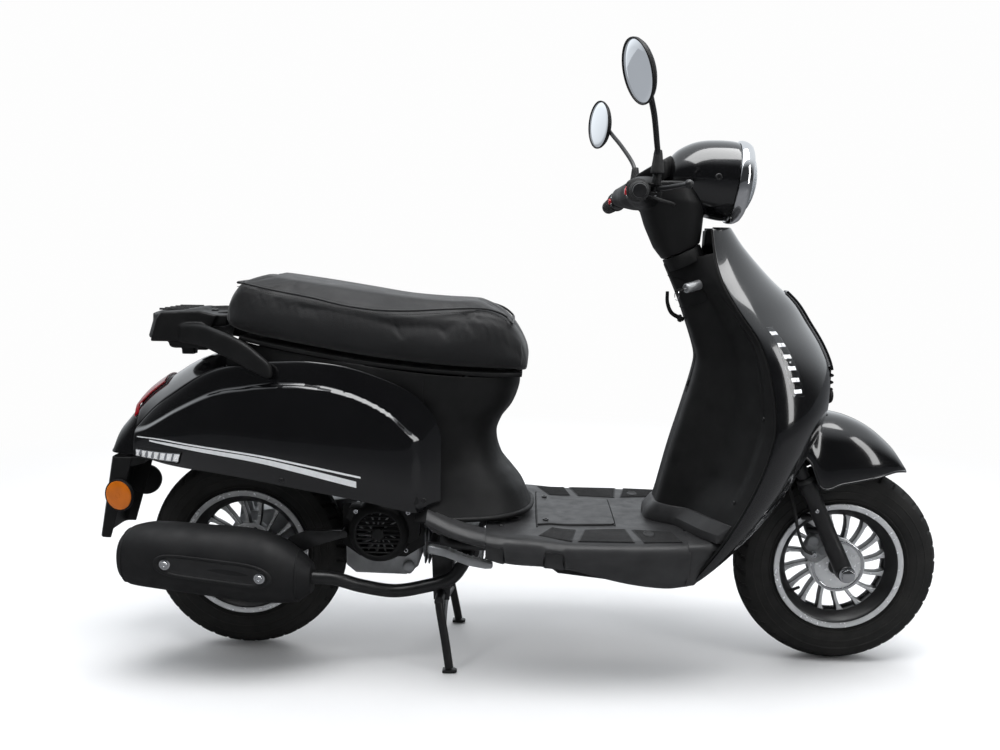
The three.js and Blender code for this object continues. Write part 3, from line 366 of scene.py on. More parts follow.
class Look:
    """A Principled material whose colour, roughness and relief come from noise."""

    def __init__(self, name, colour, rough, metal=0.0, **sockets):
        self.material = bpy.data.materials.new(name)
        self.material.use_nodes = True
        self.tree = self.material.node_tree
        self.shader = self.tree.nodes["Principled BSDF"]
        self.colour = (*colour, 1)
        self.rough = rough
        self.shader.inputs["Base Color"].default_value = self.colour
        self.shader.inputs["Roughness"].default_value = rough
        self.shader.inputs["Metallic"].default_value = metal
        for socket, value in sockets.items():
            self.shader.inputs[socket.replace("_", " ")].default_value = value
        self.place = self.add("ShaderNodeTexCoord").outputs["Object"]
        self.relief = None

    def add(self, kind, **values):
        node = self.tree.nodes.new(kind)
        for key, value in values.items():
            setattr(node, key, value)
        return node

    def link(self, a, b):
        self.tree.links.new(a, b)

    def noise(self, scale, detail=4.0, rough=0.55):
        node = self.add("ShaderNodeTexNoise")
        node.inputs["Scale"].default_value = scale
        node.inputs["Detail"].default_value = detail
        node.inputs["Roughness"].default_value = rough
        self.link(self.place, node.inputs["Vector"])
        return node.outputs["Fac"]

    def cells(self, scale, feature="F1"):
        node = self.add("ShaderNodeTexVoronoi", feature=feature)
        node.inputs["Scale"].default_value = scale
        self.link(self.place, node.inputs["Vector"])
        return node.outputs["Distance"]

    def spread(self, value, low, high, from_low=0.3, from_high=0.7):
        node = self.add("ShaderNodeMapRange")
        for socket, number in zip(node.inputs[1:5], (from_low, from_high, low, high)):
            socket.default_value = number
        self.link(value, node.inputs[0])
        return node.outputs[0]

    def tint(self, other, scale, share=1.0):
        """Drifts the colour towards another one."""
        mix = self.add("ShaderNodeMix", data_type="RGBA")
        mix.inputs["A"].default_value = self.colour
        mix.inputs["B"].default_value = (*other, 1)
        self.link(self.spread(self.noise(scale), 0, share), mix.inputs["Factor"])
        self.link(mix.outputs["Result"], self.shader.inputs["Base Color"])
        self.base = mix.outputs["Result"]
        return self

    def wear(self, other, share=0.6, low=0.53, high=0.62):
        """Paler edges where the surface has been rubbed."""
        shape = self.add("ShaderNodeNewGeometry").outputs["Pointiness"]
        edge = self.spread(shape, 0, share, low, high)
        broken = self.add("ShaderNodeMath", operation="MULTIPLY")
        self.link(edge, broken.inputs[0])
        self.link(self.spread(self.noise(180), 0.2, 1), broken.inputs[1])
        mix = self.add("ShaderNodeMix", data_type="RGBA")
        self.link(broken.outputs[0], mix.inputs["Factor"])
        self.link(self.base, mix.inputs["A"])
        mix.inputs["B"].default_value = (*other, 1)
        self.link(mix.outputs["Result"], self.shader.inputs["Base Color"])
        self.base = mix.outputs["Result"]
        return self

    def smudge(self, scale, low, high):
        self.link(self.spread(self.noise(scale, 6), low, high), self.shader.inputs["Roughness"])
        return self

    def bump(self, height, strength, distance):
        node = self.add("ShaderNodeBump")
        node.inputs["Strength"].default_value = strength
        node.inputs["Distance"].default_value = distance
        self.link(height, node.inputs["Height"])
        if self.relief:
            self.link(self.relief, node.inputs["Normal"])
        self.relief = node.outputs["Normal"]
        self.link(self.relief, self.shader.inputs["Normal"])
        return self


def gloss_paint():
    look = Look("gloss_paint", (0.0022, 0.0022, 0.0026), 0.16, Coat_Weight=1.0, Coat_Roughness=0.02)
    look.tint((0.0035, 0.0035, 0.004), 14).smudge(9, 0.1, 0.22)
    return look.bump(look.noise(420, 2), 0.03, 0.0004).material


def moulded_plastic(name="moulded_plastic", shade=0.0052, rough=0.48):
    look = Look(name, (shade, shade, shade * 1.04), rough, Specular_IOR_Level=0.3)
    look.tint((shade * 1.7, shade * 1.7, shade * 1.75), 22, 0.8)
    look.wear((shade * 3, shade * 3, shade * 3), 0.3).smudge(35, rough - 0.08, rough + 0.1)
    look.bump(look.cells(1100), 0.22, 0.0004)
    return look.bump(look.noise(60), 0.05, 0.001).material


def painted_metal():
    look = Look("painted_metal", (0.006, 0.006, 0.0065), 0.38, Coat_Weight=0.3, Coat_Roughness=0.25)
    look.tint((0.011, 0.011, 0.0115), 40).wear((0.07, 0.07, 0.07), 0.4).smudge(50, 0.3, 0.52)
    return look.bump(look.noise(350, 3), 0.12, 0.0005).material


def heat_paint():
    look = Look("heat_paint", (0.006, 0.006, 0.0068), 0.54, Specular_IOR_Level=0.35)
    look.tint((0.01, 0.01, 0.0105), 18).wear((0.04, 0.04, 0.04), 0.3).smudge(28, 0.52, 0.72)
    look.bump(look.noise(900, 3), 0.3, 0.0004)
    return look.bump(look.noise(90), 0.08, 0.001).material


def cast_metal():
    look = Look("cast_metal", (0.46, 0.47, 0.48), 0.46, 0.75)
    look.tint((0.32, 0.325, 0.33), 30).wear((0.62, 0.62, 0.63), 0.6).smudge(45, 0.36, 0.6)
    look.bump(look.noise(700, 5), 0.35, 0.0006)
    return look.bump(look.cells(260), 0.12, 0.0006).material


def chrome():
    look = Look("chrome", (0.82, 0.83, 0.84), 0.06, 1.0)
    look.tint((0.74, 0.75, 0.77), 25).smudge(30, 0.03, 0.1)
    return look.bump(look.noise(240, 2), 0.02, 0.0003).material


def machined_metal():
    look = Look("machined_metal", (0.84, 0.85, 0.86), 0.24, 0.55)
    look.tint((0.7, 0.71, 0.72), 60).smudge(90, 0.16, 0.3)
    lines = look.add("ShaderNodeTexWave", wave_type="RINGS", rings_direction="Y")
    lines.inputs["Scale"].default_value = 420
    lines.inputs["Distortion"].default_value = 1.5
    look.link(look.place, lines.inputs["Vector"])
    return look.bump(lines.outputs["Fac"], 0.08, 0.0002).material


def tyre_rubber():
    look = Look("tyre_rubber", (0.008, 0.008, 0.008), 0.72, Specular_IOR_Level=0.35)
    look.tint((0.015, 0.0145, 0.0135), 12).wear((0.05, 0.048, 0.045), 0.5).smudge(30, 0.62, 0.82)
    look.bump(look.noise(1400, 3), 0.3, 0.0004)
    return look.bump(look.noise(160), 0.06, 0.0008).material


def grip_rubber():
    look = Look("grip_rubber", (0.012, 0.012, 0.012), 0.66)
    look.tint((0.022, 0.022, 0.022), 60).smudge(80, 0.56, 0.78)
    return look.bump(look.noise(1600, 3), 0.25, 0.0003).material


def seat_vinyl():
    look = Look("seat_vinyl", (0.0055, 0.0055, 0.0062), 0.46, Specular_IOR_Level=0.4, Sheen_Weight=0.12)
    look.tint((0.009, 0.009, 0.0098), 9).wear((0.028, 0.028, 0.028), 0.25).smudge(24, 0.48, 0.66)
    look.bump(look.cells(620), 0.32, 0.0005)
    look.bump(look.noise(1900, 2), 0.1, 0.0003)
    return look.bump(look.noise(16), 0.1, 0.003).material


def tinted_lens(name, colour, through, rough=0.08):
    look = Look(name, colour, rough, Transmission_Weight=through, IOR=1.46, Coat_Weight=0.6,
                Coat_Roughness=0.03)
    look.tint(tuple(c * 0.82 for c in colour), 30).smudge(40, rough * 0.6, rough * 1.6)
    return look.bump(look.noise(180, 2), 0.04, 0.0004).material


# The mirror glass glows a pale blue: a painted sky reflection laid over the real mirror finish.
def mirror_glass_painted_sky():
    look = Look("mirror_glass_painted_sky", (0.86, 0.88, 0.9), 0.02, 1.0, Emission_Strength=0.34)
    look.shader.inputs["Emission Color"].default_value = (0.8, 0.86, 0.94, 1)
    look.tint((0.8, 0.83, 0.85), 20).smudge(18, 0.01, 0.05)
    return look.bump(look.noise(60, 2), 0.01, 0.0003).material


def stripe_paint():
    look = Look("stripe_paint", (0.72, 0.73, 0.74), 0.28, Coat_Weight=0.8, Coat_Roughness=0.04)
    look.tint((0.62, 0.63, 0.64), 60).smudge(60, 0.2, 0.36)
    return look.bump(look.noise(500, 2), 0.04, 0.0003).material


# The cells and the front light trays glow: painted light standing in for studio light that the refractive
# covers keep from them.
def light_cell_painted_glow():
    look = Look("light_cell_painted_glow", (0.86, 0.87, 0.89), 0.24, Coat_Weight=0.8, Emission_Strength=0.5)
    look.shader.inputs["Emission Color"].default_value = (1, 1, 1, 1)
    look.tint((0.7, 0.72, 0.75), 160).smudge(90, 0.16, 0.34)
    return look.bump(look.noise(420, 2), 0.1, 0.0005).material


def red_plastic():
    look = Look("red_plastic", (0.5, 0.006, 0.012), 0.32, Coat_Weight=0.4)
    look.tint((0.36, 0.004, 0.01), 200).smudge(120, 0.26, 0.44)
    return look.bump(look.noise(900, 2), 0.1, 0.0003).material


gloss = gloss_paint()
satin = moulded_plastic()
# The floor and its rubber mats are a dark grey plastic. Their base colour is lifted further as a painted sky
# sheen on their tops.
mat_plastic_painted_sheen = moulded_plastic("foot_mat_painted_sheen", 0.018, 0.55)
floor_plastic_painted_sheen = moulded_plastic("floor_plastic_painted_sheen", 0.022, 0.36)
dark_plastic = moulded_plastic("dark_recess", 0.004, 0.7)
dark = painted_metal()
heat = heat_paint()
castings = cast_metal()
bright = chrome()
machined = machined_metal()
rubber = tyre_rubber()
grip_look = grip_rubber()
vinyl = seat_vinyl()
clear_lens = tinted_lens("clear_lens", (0.93, 0.95, 0.97), 1.0)
red_lens = tinted_lens("red_lens", (0.45, 0.004, 0.012), 0.35)
amber_lens = tinted_lens("amber_lens", (0.8, 0.2, 0.01), 0.3)
glass = mirror_glass_painted_sky()
stripe = stripe_paint()
cell = light_cell_painted_glow()
red = red_plastic()


# ---------------------------------------------------------------- camera, floor and light


WHITE = (0.985, 0.985, 0.985, 1)


def stage_and_camera():
    yaw, pitch, roll = math.radians(1.62), math.radians(7.55), math.radians(0.74)
    look = V(-math.sin(yaw) * math.cos(pitch), math.cos(yaw) * math.cos(pitch), -math.sin(pitch))
    right = look.cross(Z).normalized()
    up = right.cross(look)
    turned_right = right * math.cos(roll) + up * math.sin(roll)
    turned_up = up * math.cos(roll) - right * math.sin(roll)
    data = bpy.data.cameras.new("camera")
    data.lens = 33.79
    data.sensor_width = 36
    camera = bpy.data.objects.new("camera", data)
    bpy.context.scene.collection.objects.link(camera)
    turn = Matrix((turned_right, turned_up, -look)).transposed().to_4x4()
    camera.matrix_world = Matrix.Translation((0.0162, -2.0116, 0.8812)) @ turn
    bpy.context.scene.camera = camera

    bpy.context.scene.view_settings.view_transform = "Standard"
    bpy.ops.mesh.primitive_circle_add(vertices=96, radius=60, fill_type="NGON", location=(0, 0, -0.001))
    floor = bpy.context.object
    floor.name = "floor"
    paper = Look("paper", (0.86, 0.86, 0.865), 0.7).tint((0.83, 0.83, 0.835), 3)
    paper.bump(paper.noise(90), 0.02, 0.001)
    # The paper fades into the white surroundings with distance from the object.
    reach = paper.add("ShaderNodeVectorMath", operation="LENGTH")
    paper.link(paper.place, reach.inputs[0])
    fade = paper.spread(reach.outputs["Value"], 0, 1, 1.3, 3.0)
    seen = paper.add("ShaderNodeMath", operation="MULTIPLY")
    paper.link(fade, seen.inputs[0])
    paper.link(paper.add("ShaderNodeLightPath").outputs["Is Camera Ray"], seen.inputs[1])
    haze = paper.add("ShaderNodeEmission")
    haze.inputs["Color"].default_value = WHITE
    # Shiny surfaces see a darker ground, as they would outdoors.
    ground = paper.add("ShaderNodeMixShader")
    grey = paper.add("ShaderNodeBsdfDiffuse")
    grey.inputs["Color"].default_value = (0.16, 0.16, 0.165, 1)
    paper.link(paper.add("ShaderNodeLightPath").outputs["Is Glossy Ray"], ground.inputs[0])
    paper.link(paper.shader.outputs[0], ground.inputs[1])
    paper.link(grey.outputs[0], ground.inputs[2])
    mix = paper.add("ShaderNodeMixShader")
    paper.link(seen.outputs[0], mix.inputs[0])
    paper.link(ground.outputs[0], mix.inputs[1])
    paper.link(haze.outputs[0], mix.inputs[2])
    paper.link(mix.outputs[0], paper.tree.nodes["Material Output"].inputs["Surface"])
    floor.data.materials.append(paper.material)

    world = bpy.data.worlds.new("studio")
    world.use_nodes = True
    tree = world.node_tree
    tree.nodes.clear()
    out = tree.nodes.new("ShaderNodeOutputWorld")
    mix = tree.nodes.new("ShaderNodeMixShader")
    path = tree.nodes.new("ShaderNodeLightPath")
    # Lit from a bright sky above, dim at the horizon; the camera sees plain white.
    place = tree.nodes.new("ShaderNodeTexCoord")
    height = tree.nodes.new("ShaderNodeVectorMath")
    height.operation = "DOT_PRODUCT"
    height.inputs[1].default_value = (0, 0.55, 1)
    rise = tree.nodes.new("ShaderNodeMapRange")
    rise.interpolation_type = "SMOOTHSTEP"
    for socket, number in zip(rise.inputs[1:5], (0.15, 0.7, 0.04, 0.9)):
        socket.default_value = number
    sky = tree.nodes.new("ShaderNodeBackground")
    sky.inputs["Color"].default_value = (0.92, 0.96, 1, 1)
    plain = tree.nodes.new("ShaderNodeBackground")
    plain.inputs["Color"].default_value = WHITE
    tree.links.new(place.outputs["Generated"], height.inputs[0])
    tree.links.new(height.outputs["Value"], rise.inputs[0])
    tree.links.new(rise.outputs[0], sky.inputs["Strength"])
    tree.links.new(sky.outputs[0], mix.inputs[1])
    tree.links.new(plain.outputs[0], mix.inputs[2])
    tree.links.new(path.outputs["Is Camera Ray"], mix.inputs[0])
    tree.links.new(mix.outputs[0], out.inputs["Surface"])
    bpy.context.scene.world = world
    for name, at, aim, size, power in (
        ("overhead", (0.2, -0.6, 3.2), (0, 0, 0.5), (3.4, 1.6), 90),
        ("side_strip", (-2.2, -2.6, 1.9), (-0.2, 0, 0.5), (0.6, 2.4), 20),
        ("front_strip", (2.8, -1.6, 1.7), (0.5, 0, 0.7), (0.6, 2.2), 20),
        ("far_side", (0.0, 2.8, 2.2), (0, 0, 0.5), (3.0, 1.0), 45),
    ):
        lamp = bpy.data.lights.new(name, "AREA")
        lamp.shape = "RECTANGLE"
        lamp.size, lamp.size_y = size
        lamp.energy = power
        made = bpy.data.objects.new(name, lamp)
        made.location = at
        made.visible_glossy = name in ("overhead", "front_strip")
        made.rotation_euler = (Vector(aim) - Vector(at)).to_track_quat("-Z", "Y").to_euler()
        bpy.context.scene.collection.objects.link(made)


stage_and_camera()


# ---------------------------------------------------------------- front body

apron_front = curve([
    (229, 430), (310, 508), (400, 583), (473, 617), (535, 643), (574, 653), (641, 652),
    (690, 633), (738, 603), (781, 574), (829, 523), (892, 466), (933, 437),
])
apron_edge = curve([
    (229, 352), (330, 417), (430, 468), (520, 497), (572, 500), (655, 488), (711, 470),
    (768, 435), (816, 411), (866, 399), (933, 394),
])
apron_half = curve([
    (229, 200), (314, 220), (400, 223), (500, 220), (572, 212), (655, 190), (711, 168),
    (768, 138), (816, 108), (866, 76), (933, 42),
])
apron_arch = curve([
    (0, 569), (0.28, 566), (0.42, 556), (0.52, 534), (0.59, 500), (0.7, 431), (0.805, 347), (0.87, 300),
    (1, 229),
])
BULGE = 1.75


def apron_point(u, z, out=0.0):
    bulge = max(1 - min(abs(u), 1) ** BULGE, 0) ** (1 / BULGE)
    edge, front, half = apron_edge(z), apron_front(z), apron_half(z)
    return V(edge + (front - edge) * bulge + out * bulge, u * (half + out), z)


def make_apron():
    across = [math.sin(t) for t in spread(-math.pi / 2, math.pi / 2, 97)]
    rows = []
    for v in spread(0, 1, 90):
        rows.append([apron_point(u, 933 + (apron_arch(abs(u)) - 933) * v) for u in across])
    piece("apron", [sheet(rows, 4)], gloss, "chassis", ["front_apron"], 1.3)
    # A rolled lip where the apron meets the leg shield.
    for s in (-1, 1):
        seam = [apron_point(s, z) + V(-1.5, -s * 1.0, 0) for z in spread(236, 928, 60)]
        lip = tube(seam, 2.2, 110, 10)
        piece(f"apron_lip_{'right' if s < 0 else 'left'}", [lip], satin, "chassis", bevel=0)
    # Front position lights: a clear cover over a tray, with cells that stand through it; tray and cells glow
    # with painted light in place of the studio light the cover holds back.
    for s, hand in ((-1, "right"), (1, "left")):
        def strip_point(v, w, out):
            z = 738 - 132 * v
            low, high = 0.905 - 0.03 * v, 0.985 - 0.012 * v
            return apron_point(s * (low + (high - low) * w), z, out)

        cover = [[strip_point(v, w, 1.6 + 1.6 * math.sin(math.pi * (0.12 + 0.76 * w)))
                  for w in spread(0, 1, 9)]
                 for v in spread(0, 1, 26)]
        made = sheet(cover, 1.6 * s)
        piece(f"front_light_cover_{hand}", [made], clear_lens, "chassis",
              [f"front_light_{hand}"], 0.5)
        tray = [[strip_point(v, w, 0.9) for w in spread(-0.1, 1.1, 7)] for v in spread(-0.02, 1.02, 26)]
        piece(f"front_light_tray_{hand}", [sheet(tray, 1.2 * s)], cell, "chassis",
              bevel=0.3)
        cells = []
        for n in range(6):
            a, b = n / 6 + 0.02, (n + 1) / 6 - 0.02
            foot = [strip_point(p, q, 1.2) for p, q in ((a, 0.14), (a, 0.86), (b, 0.86), (b, 0.14))]
            crest = [strip_point(p, q, 5.2) for p, q in
                     ((a + 0.04, 0.3), (a + 0.04, 0.7), (b - 0.04, 0.7), (b - 0.04, 0.3))]
            cells.append(loft([foot, crest]))
        piece(f"front_light_cells_{hand}", cells, cell, "chassis", bevel=0.6)
        frame_line = [strip_point(v, w, 1.6) for v, w in
                      [(0, w) for w in spread(0, 1, 5)] + [(v, 1) for v in spread(0.05, 0.95, 16)]
                      + [(1, w) for w in spread(1, 0, 5)] + [(v, 0) for v in spread(0.95, 0.05, 16)]]
        piece(f"front_light_rim_{hand}", [tube(frame_line, 1.9, 120, 8, closed=True)], dark_plastic,
              "chassis", bevel=0)
        for n in range(3):
            along = 0.25 + 0.25 * n
            led = rod(strip_point(along, 0.5, 4.6), strip_point(along, 0.5, 6.2), 2.2, 1.4, 16)
            piece(f"front_led_{hand}_{n + 1}", [led], stripe, "chassis", bevel=0.2)


def make_trim():
    tie = [[apron_point(u * (1 + i * 0.02), z, 8.5 + 2 * math.cos(u * 12)) for u in spread(-0.11, 0.11, 13)]
           for i, z in enumerate(spread(802, 640, 25))]
    shells = [sheet(tie, 5), box(660, 664, -14, 14, 572, 646)]
    for z in (628, 613, 598):
        blade = [[V(660.5 + 8 * math.cos(t), y, z + 4.2 * math.sin(t)) for t in spread(-1.57, 1.57, 9)]
                 for y in spread(-20 + (628 - z) * 0.05, 20 - (628 - z) * 0.05, 12)]
        shells.append(loft(blade))
    piece("apron_tie", shells, gloss, "chassis", ["apron_trim"], 1.2)
    cap = turned([(0, 0), (17, 0), (17, 6), (15, 10), (12, 11.5), (11, 10), (8, 10.5), (0, 13)],
                 (660.5, 0, 582), X, 48)
    piece("horn_cap", [cap], satin, "chassis", bevel=0.5)
    neck = [[V(x, y, z) for x, z in ((384, 896), (387, 930), (425, 932), (420, 903))] for y in (-16, 16)]
    piece("apron_top_cap", [loft(neck)], satin, "chassis", bevel=4, segments=4)


tunnel_rear = curve([
    (318, 290), (345, 297), (375, 305), (469, 328), (568, 356), (649, 376), (676, 375), (755, 348),
    (800, 330),
    (870, 298),
])
shield_depth = curve([(0, 0), (0.18, 0.02), (0.3, 0.2), (0.38, 0.42), (0.5, 0.56), (0.75, 0.76), (1, 1)])
KEY_AT = V(352, -62, 812)
KEY_WAY = V(-0.86, -0.46, -0.22).normalized()


def shield_point(u, z):
    rear, edge = tunnel_rear(z), apron_edge(z) - 2.5
    # A shallow knee recess on each side of the tunnel.
    recess = 9 * smooth_step(0.36, 0.5, abs(u)) * (1 - smooth_step(0.8, 0.93, abs(u)))
    recess *= smooth_step(360, 430, z) * (1 - smooth_step(760, 840, z))
    return V(rear + (edge - rear) * shield_depth(abs(u)) + recess, u * (apron_half(z) - 2), z)


def make_shield():
    rows = []
    for v in spread(0, 1, 100):
        row = []
        for u in spread(-1, 1, 97):
            top = 851 + 31 * abs(u) ** 0.8
            row.append(shield_point(u, top + (319 - top) * v))
        rows.append(row)
    piece("leg_shield", [sheet(rows, 3.5)], satin, "chassis", ["inner_leg_shield"], 1.2)
    # Closed storage slot with its latch, on the tunnel's rear face.
    groove = [[shield_point(u, z) + V(-0.8, 0, 0) for u in spread(-0.02, 0.05, 5)]
              for z in spread(668, 585, 20)]
    piece("shield_slot", [sheet(groove, 1)], dark_plastic, "chassis", bevel=0.4)
    latch = [[shield_point(u, z) + V(-3.5, 0, 0) for u in spread(-0.012, 0.042, 5)]
             for z in spread(612, 598, 6)]
    piece("slot_latch", [sheet(latch, 3)], satin, "chassis", bevel=0.8)
    for s in (-1, 1):
        for z in (392, 560, 742):
            at = shield_point(0.86 * s, z)
            piece(f"shield_screw_{'right' if s < 0 else 'left'}_{z}", [bolt(at + V(0.5, 0, 0), -X, 4.2, 2.2)],
                  dark, "chassis", bevel=0.2)
    # Parting line round the upper lock cover.
    ring_line = [shield_point(0.5 * math.cos(t), 800 + 34 * math.sin(t)) + V(-0.4, 0, 0)
                 for t in spread(0, 6.283, 73)[:-1]]
    piece("lock_cover_seam", [tube(ring_line, 0.9, 144, 8, closed=True)], dark_plastic, "chassis",
          bevel=0)
    barrel = turned([(0, -22), (10, -22), (10, 12), (8.6, 15), (7, 13), (0, 13)], KEY_AT, KEY_WAY, 40)
    blade_side = KEY_WAY.cross(Z).normalized()
    blade_up = KEY_WAY.cross(blade_side)
    blade = loft([ring(KEY_AT + KEY_WAY * d, blade_side, blade_up, 4.2, 1.1, 6, 16) for d in (12, 24)])
    bow = loft([ring(KEY_AT + KEY_WAY * d, blade_side, blade_up, a, 2.6, 3, 24)
                for d, a in ((22, 6), (24, 9), (30, 10.5), (36, 9), (38, 6))])
    piece("ignition_lock", [barrel, blade], castings, "key", ["ignition_key"], 0.4)
    piece("key_bow", [bow], satin, "key", bevel=0.5)
    centre = KEY_AT + KEY_WAY * 36 + V(0, 0, -9)
    hoop = [centre + V(-3 * math.cos(t), 9 * math.cos(t), 10 * math.sin(t))
            for t in spread(0, 6.283, 25)[:-1]]
    piece("key_ring", [tube(hoop, 0.8, 48, 8, closed=True)], bright, "key", bevel=0)
    hook = tube([(350, 0, 741), (341, 0, 744), (323, 0, 755), (314, 0, 776), (313, 0, 800)],
                lambda t: 5 - 1.4 * t, 40, 20)
    foot = loft([ring(V(x, 0, 743), Y, Z, a, b, 4, 28) for x, a, b in ((344, 11, 8), (340, 11, 8),
            (337, 8, 6))])
    piece("hook", [hook, foot], satin, "chassis", ["bag_hook"], 0.6)


floor_top = curve([(-178, 362), (-119, 340), (-51, 326), (38, 320), (110, 314), (345, 314)])
floor_low = curve([(-178, 338), (-160, 316), (-100, 290), (-26, 264), (94, 255), (221, 227), (300, 217),
                   (345, 219)])
floor_half = curve([(-178, 206), (-119, 222), (-51, 232), (38, 236), (217, 236), (300, 230), (345, 221)])


def floor_height(x):
    return FLOOR_Z if x >= 110 else floor_top(x)


def make_floor():
    rows = []
    for x in spread(-178, 345, 120):
        top, low, half = floor_height(x), floor_low(x), floor_half(x)
        bottom = min(low, top - 30)
        hollow = 5 * smooth_step(-40, 30, x)
        line = [(40, top), (half - 50, top), (half - 30, top - 0.5), (half - 14, top - 3.5),
                (half - 4, top - 11),
                (half, top - 22), (half - 1, top - 32), (half - hollow, top - 42),
                (half - 10, (top - 42 + bottom) / 2),
                (half - 24, bottom + 3), (half - 28, bottom)]
        if bottom > top - 60:
            line = [(40, top), (half - 50, top), (half - 30, top - 0.5), (half - 14, top - 3.5),
                    (half - 4, top - 11),
                    (half, top - 16), (half - 1, top - 20), (half - 4, top - 22), (half - 8, top - 24),
                    (half - 16, top - 27), (half - 20, bottom)]
        half_points = spline([V(x, y, z) for y, z in line], 26)
        inner = [V(x, y, top) for y in spread(0, 40, 5)[:-1]]
        flat_y = [p for p in inner] + half_points
        rows.append([V(p.x, -p.y, p.z) for p in reversed(flat_y[1:])] + flat_y)
    opened = []
    for x, row in zip(spread(-178, 345, 120), rows):
        opened.append(row)
    front = [row for row in opened if row[0].x > -62]
    shells = [sheet(front, -4)]
    for s in (-1, 1):
        strip = []
        for row in opened:
            if row[0].x > -58:
                continue
            half_row = [p for p in row if p.y * s > 181]
            strip.append(half_row)
        count = min(len(r) for r in strip)
        strip = [sorted(r, key=lambda p: (-p.z, abs(p.y)))[:count] for r in strip]
        shells.append(sheet(strip, -4 * -s if s < 0 else -4))
    # The skirts run on forward, under the leg shield, to the apron.
    for s in (1, -1):
        wing = [[V(x, y * s, z) for y, z in ((130, 314), (half - 18, 313), (half - 7, 310), (half - 3, 305),
                                             (half - 1, 299),
                                             (half - 14, low))]
                for x, low, half in ((341, 224, 221), (356, 226, 219), (372, 241, 216), (388, 263, 212),
                                     (404, 286, 207), (416, 303, 203))]
        shells.append(sheet(wing, -4 * s))
    piece("floor_pan", shells, floor_plastic_painted_sheen, "chassis", ["floorboard"], 1.0)
    # A raised kerb where the tunnel and the shield stand on the floor.
    kerb = []
    for u in spread(-0.97, 0.97, 90):
        foot, crest = shield_point(u, 319), shield_point(u, 352)
        back = 15 - 6 * smooth_step(0.8, 0.97, abs(u))
        kerb.append([foot + V(-back, 0, -5), foot + V(-back + 2, 0, 12), crest + V(-back * 0.55, 0, -6),
                     crest + V(-back * 0.3, 0, -1),
                     crest + V(1.5, 0, 0), foot + V(1.5, 0, -5)])
    piece("floor_kerb", [loft(kerb)], floor_plastic_painted_sheen, "chassis", bevel=1.0)


def ribbed_mat(name, corners, pitch=7.0):
    """A rubber insert between four (x, y) corners, with fine ribs along its length."""
    (ax, ay), (bx, by), (cx, cy), (dx, dy) = corners
    shells = []

    def at(u, v, up):
        x = (ax * (1 - u) + bx * u) * (1 - v) + (dx * (1 - u) + cx * u) * v
        y = (ay * (1 - u) + by * u) * (1 - v) + (dy * (1 - u) + cy * u) * v
        return V(x, y, floor_height(x) + up)

    base = [[at(u, v, 0.8) for v in spread(0, 1, 12)] for u in spread(0, 1, 12)]
    shells.append(sheet(base, -1.0 if (bx - ax) * (dy - ay) - (by - ay) * (dx - ax) > 0 else 1.0))
    width = math.hypot(dx - ax, dy - ay)
    count = int(width / pitch)
    for n in range(count):
        v = (n + 0.5) / count
        half = 1.5 / width
        rings = []
        for u in spread(0.03, 0.97, 10):
            rings.append([at(u, v - half, 0.6), at(u, v - half * 0.6, 2.0), at(u, v + half * 0.6, 2.0),
                          at(u, v + half, 0.6)])
        shells.append(loft(rings))
    piece(name, shells, mat_plastic_painted_sheen, "chassis", bevel=0)


def make_floor_details():
    for s, hand in ((-1, "right"), (1, "left")):
        ribbed_mat(f"mat_front_{hand}", [(141, 136 * s), (226, 125 * s), (236, 212 * s), (124, 213 * s)])
        ribbed_mat(f"mat_corner_{hand}", [(238, 129 * s), (318, 140 * s), (331, 204 * s), (254, 212 * s)])
        ribbed_mat(f"mat_rear_{hand}", [(74, 132 * s), (124, 138 * s), (112, 213 * s), (46, 198 * s)])
        oval = turned([(0, 0), (19, 0), (19, 1.2), (16, 2.4), (13, 2.4), (12, 1.4), (0, 1.4)],
                      (270, 160 * s, FLOOR_Z + 1.2), Z, 48)
        piece(f"floor_oval_{hand}", [([V(270 + (p.x - 270) * 0.62, p.y, p.z) for p in oval[0]], oval[1])],
              mat_plastic_painted_sheen,
              "chassis", bevel=0.3)
        piece(f"hatch_screw_{hand}", [bolt(V(62, 92 * s, 321.4), Z, 6.5, 2.4)], dark, "chassis",
              bevel=0.3)
        plug = turned([(0, 0), (15, 0), (15, 1.2), (12, 2.2), (9, 1.6), (0, 1.6)],
                      V(-9, 92 * s, floor_height(-9) - 0.4), Z, 48)
        piece(f"floor_plug_{hand}", [plug], mat_plastic_painted_sheen, "chassis", bevel=0.3)
        piece(f"floor_screw_{hand}", [bolt(V(-30, 150 * s, floor_height(-30)), Z, 5.5, 2.6)], dark, "chassis",
              bevel=0.3)
    hatch_half = curve([(44, 127), (58, 118), (74, 110), (120, 106), (200, 98), (206, 92)])
    rows = [[V(x, y * hatch_half(x), floor_height(x) + 3.2) for y in spread(-1, 1, 25)]
            for x in spread(44, 206, 60)]
    piece("hatch", [sheet(rows, -2.8)], floor_plastic_painted_sheen, "chassis", ["floor_hatch"], 0.9,
          segments=3)
    edge = [(x, hatch_half(x) + 2) for x in spread(46, 204, 40)]
    edge = edge + [(208, 90), (208, -90)] + [(x, -y) for x, y in reversed(edge)] + [(42, -124), (42, 124)]
    line = [V(x, y, floor_height(x) + 0.2) for x, y in edge]
    piece("floor_seam", [tube(line, 1.0, 300, 8, closed=True)], dark_plastic, "chassis",
          bevel=0)
    rows = []
    for x, z, top in ((60, 226, 244), (90, 204, 240), (200, 192, 222), (300, 184, 214), (352, 196, 224)):
        corner = [V(x, -112, top), V(x, -110, z + 18), V(x, -103, z + 8), V(x, -94, z + 2), V(x, -84, z),
                  V(x, 84, z),
                  V(x, 94, z + 2), V(x, 103, z + 8), V(x, 110, z + 18), V(x, 112, top)]
        rows.append(corner)
    piece("belly", [sheet(rows, 3)], satin, "chassis", ["belly_pan"], 1.2)


make_apron()
make_trim()
make_shield()
make_floor()
make_floor_details()

# ---------------------------------------------------------------- rear body

